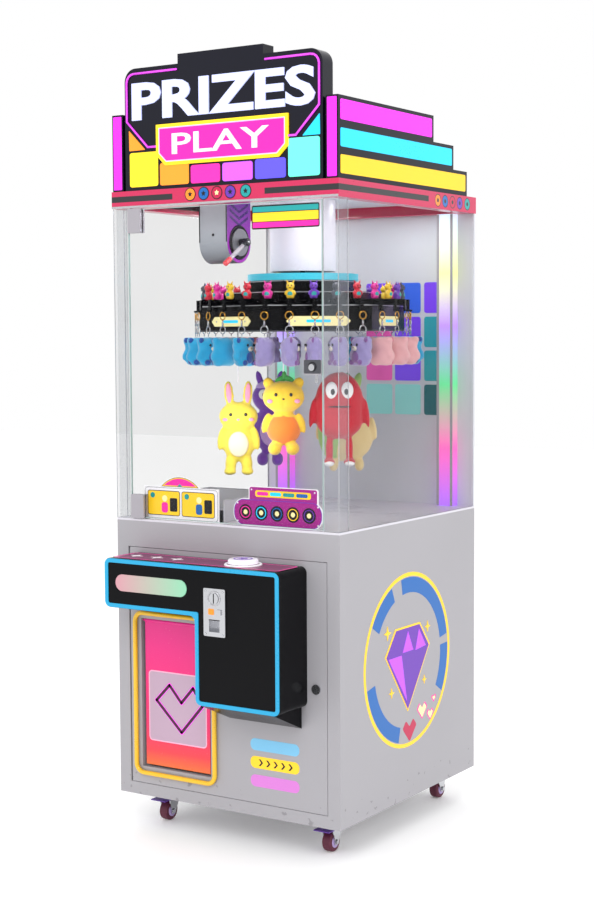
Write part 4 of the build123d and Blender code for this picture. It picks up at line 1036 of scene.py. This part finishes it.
# ---- toys
def soft_body(name, parts, voxel=4.0, seam=1.4):
    """Rounded lumps grown into one stuffed skin, with a seam pulled in down its middle."""
    piece = Piece(name, "", "")
    for x, y, z, rx, ry, rz, tilt in parts:
        piece.add(ball(rx, ry, rz), at(x, y, z, tilt, "Y"), 0, True)
    data = bpy.data.meshes.new(name)
    piece.mesh.to_mesh(data)
    piece.mesh.free()
    carrier = bpy.data.objects.new(name + "_form", data)
    bpy.context.collection.objects.link(carrier)
    skin = carrier.modifiers.new("skin", "REMESH")
    skin.mode, skin.voxel_size, skin.use_smooth_shade = "VOXEL", voxel, True
    relax = carrier.modifiers.new("relax", "SMOOTH")
    relax.factor, relax.iterations = 0.6, 6
    shown = carrier.evaluated_get(bpy.context.evaluated_depsgraph_get())
    part = bmesh.new()
    part.from_mesh(shown.to_mesh())
    bpy.data.objects.remove(carrier)
    bpy.data.meshes.remove(data)
    for vert in part.verts:
        dent = seam * exp(-(vert.co.x / 2.6) ** 2)
        ripple = 0.7 * noise.noise(vert.co * 0.06)
        vert.co -= vert.normal * (dent + ripple + 0.6)
    return part


def toy(name, node, slot, skin, parts, details, finishes):
    """A large stuffed toy in the place of its node, facing the customer."""
    box = span(node)
    place = at(box.mid_x, box.mid_y, box.z0, TOY_TURN, "Z")
    body = Piece(name, "carousel", slot, skin)
    body.add(soft_body(name, parts), place, 0, True)
    stuffed = body.done(node)
    trim = Piece(name + "_features", "carousel", slot, *finishes)
    for look, x, y, z, rx, ry, rz, tilt in details:
        trim.add(ball(rx, ry, rz, 20, 12), place @ at(x, y, z, tilt, "Y"), look, True)
    top = max(z + rz for x, y, z, rx, ry, rz, tilt in parts) - 6
    trim.add(rod(1.6, box.z1 - box.z0 - top - 0.3, segments=10), place @ at(0, 0, top), 0, True)
    trim.done()


def pair(x, y, z, rx, ry, rz, tilt=0):
    """A part of a body on the right, and the same on the left."""
    return [(x, y, z, rx, ry, rz, tilt), (-x, y, z, rx, ry, rz, -tilt)]


def twice(look, x, y, z, rx, ry, rz, tilt=0):
    """A feature of a face on the left, and the same on the right."""
    return [(look, side * x, y, z, rx, ry, rz, side * tilt) for side in (-1, 1)]


def large_toys():
    ribbon = moulded("loop_ribbon", "e9e6ef", rough=0.7)
    yellow_pile, orange_pile = pile("pile_yellow", "f2c531"), pile("pile_orange", "ee7d22")
    green_pile, cream_pile = pile("pile_green", "a9d27c"), pile("pile_cream", "f0e2bd")
    red_pile, purple_pile = pile("pile_red", "cf1f34"), pile("pile_purple", "7d45bd")
    leaf, pink = pile("pile_leaf", "3f9b47"), pile("pile_pink", "f39ab8")
    lilac = pile("pile_lilac", "c9a6ea")
    finishes = (ribbon, eye_black, eye_white, pink, cream_pile, leaf, orange_pile, lilac, green_pile)
    face = twice(1, 21, -27, 174, 4.5, 3, 5)
    toy("rabbit_toy", "plush_square", "plush_yellow", pile("pile_lemon", "f5dc4a"),
        [(0, 0, 92, 47, 28, 54, 0), (0, -1, 168, 57, 29, 43, 0)] + pair(27, 0, 232, 15, 9, 40, 4)
        + pair(50, -2, 104, 11, 13, 34, -8) + pair(23, 0, 34, 17, 18, 32) + pair(25, -7, 11, 19, 20, 11),
        face + [(3, 0, -29, 160, 4.5, 3, 3.2, 0), (4, 0, -23, 90, 29, 7, 36, 0)]
        + twice(3, 27, -7, 234, 8, 3, 29, 4)
        + twice(3, 37, -22, 160, 8, 4, 5), finishes)
    toy("bear_toy", "plush_bear", "plush_yellow", yellow_pile,
        [(0, 0, 78, 46, 34, 50, 0), (0, -2, 165, 60, 39, 46, 0)] + pair(43, 0, 205, 16, 10, 16)
        + pair(49, -4, 92, 12, 14, 31, -16) + pair(25, -10, 21, 20, 27, 20),
        twice(1, 21, -38, 172, 4.6, 3.5, 5.2)
        + [(1, 0, -40, 160, 3.6, 2, 2.6, 0), (6, 0, 0, 76, 48.5, 36.5, 47, 0),
           (5, -7, 0, 214, 18, 6, 9, -22), (5, 13, 0, 216, 18, 6, 8, 24), (5, 2, 0, 222, 7, 6, 15, 0)]
        + twice(3, 38, -32, 154, 8, 4, 6), finishes)
    toy("red_toy", "plush_red", "plush_red", red_pile,
        [(0, 0, 176, 70, 41, 90, 0), (0, 0, 132, 68, 40, 58, 0)] + pair(77, -4, 148, 9, 10, 44, -7)
        + pair(28, 0, 46, 12, 12, 46) + pair(29, -9, 11, 18, 25, 11),
        twice(2, 22, -35, 214, 17, 8, 24) + twice(1, 19, -42, 210, 6, 3, 9)
        + [(1, 0, -40, 168, 34, 4, 2.4, 0)] + twice(2, 29, -16, 8, 14, 20, 9), finishes)
    toy("pear_toy", "plush_green", "plush_green", pile("pile_pear", "efd79c"),
        [(0, 0, 100, 80, 42, 72, 0), (0, 0, 200, 52, 32, 66, 0), (0, 0, 158, 66, 37, 62, 0)]
        + pair(80, -4, 128, 10, 11, 36, -9) + pair(38, -6, 22, 15, 22, 22),
        twice(1, 16, -31, 210, 4.5, 3, 6)
        + [(3, 0, -33, 194, 6, 3, 3.4, 0), (8, -36, -2, 130, 50, 42, 98, 0), (8, 30, 0, 256, 13, 8, 36, 16),
           (5, 9, 0, 266, 11, 7, 26, -18)], finishes)
    toy("purple_toy", "plush_purple", "plush_violet", purple_pile,
        [(0, 0, 108, 48, 39, 72, 0), (0, -1, 205, 53, 40, 47, 0)] + pair(30, 0, 258, 11, 9, 28, 14)
        + pair(49, -3, 124, 10, 11, 40, -12) + pair(22, -8, 21, 18, 26, 21),
        twice(2, 18, -36, 214, 14, 6, 15) + twice(1, 16, -41, 213, 5.5, 3, 7)
        + [(7, 0, -34, 106, 29, 8, 44, 0), (7, 0, 0, 232, 42, 33, 24, 0), (1, 0, -39, 190, 12, 3, 2.4, 0)],
        finishes)


def small_toys():
    groups = (("sky", "1fa6d8", "1a4fa0", "plush_blue", (0, *range(9, 15), *range(21, HOOKS))),
              ("lilac", "9f93c8", "85589a", "plush_violet", (*range(1, 6), *range(15, 19))),
              ("rose", "f0b4b8", "d9667f", "plush_red", (6, 7, 8, 19, 20)))
    shape = ([(0, 0, 56, 39, 27, 27, 0), (0, 0, 28, 37, 26, 27, 0)] + pair(33, 0, 72, 12, 12, 12)
             + pair(36, -3, 32, 10, 14, 18, -18) + pair(20, -5, 12, 15, 20, 12))
    spots = (twice(1, 14, -25, 60, 3.4, 2.6, 4) + twice(3, 33, -8, 73, 8, 5, 8)
             + [(2, 0, -24, 50, 11, 4.2, 7, 0), (1, 0, -27, 52, 2.6, 1.4, 2, 0), (3, 0, -22, 26, 17, 5.4, 16, 0)]
             + twice(3, 20, -20, 12, 10, 6, 8))
    base = span("small_plush").z0
    cream_pile = pile("pile_muzzle", "f6ead2")
    for name, code, accent, slot, places in groups:
        skin = pile("pile_small_" + name, code)
        body = Piece("small_toys_" + name, "carousel", slot, skin)
        faces = Piece("small_toy_faces_" + name, "carousel", slot, skin, eye_black, cream_pile,
                      pile("pile_accent_" + name, accent))
        for index in places:
            flip = Matrix.Rotation(pi if random.random() < 0.5 else 0.0, 4, "Z")
            place = spoke(index) @ shift(TOY_AT, 0, base) @ flip
            body.add(soft_body("small_toy", shape, voxel=4.5, seam=0.8), place, 0, True)
            for look, x, y, z, rx, ry, rz, _ in spots:
                faces.add(ball(rx, ry, rz, 12, 8), place @ at(x, y, z), look, True)
        body.done("small_plush")
        faces.done()


# ---- wheel hubs and axle nuts
def wheel_hubs():
    for place in CORNERS:
        wheel = span("wheel_" + place)
        y, z = wheel.mid_y, wheel.mid_z
        hub = Piece("hub_" + place, "wheel_" + place, "tread",
                    moulded("hub_lilac_" + place, "b9a3d6", rough=0.4), chrome)
        for side, x in ((-1, wheel.x0), (1, wheel.x1)):
            hub.add(lathe([(5.2, 0), (17, 0), (17, 0.9), (13, 1.6), (7, 1.6), (5.2, 0.6), (5.2, 0)]),
                    on_side(side, x, y, z), 0, True)
        hub.done()
        fork = span("fork_" + place)
        nuts = Piece("axle_nuts_" + place, "fork_" + place, "zinc", chrome)
        for side, x in ((-1, fork.x0), (1, fork.x1)):
            nuts.add(rod(6.5, 3, segments=6, soft=0.5), on_side(side, x - side * 3, y, z), 0)
        nuts.done()


def build():
    studio()
    frame_finishes()
    marquee()
    side_signs()
    header_trim()
    glass_label()
    board_prints()
    side_graphics()
    door_stickers()
    flap_prints()
    console_dress()
    cabin_dress()
    striker_dress()
    drum_dress()
    figures()
    key_chains()
    large_toys()
    small_toys()
    wheel_hubs()


build()
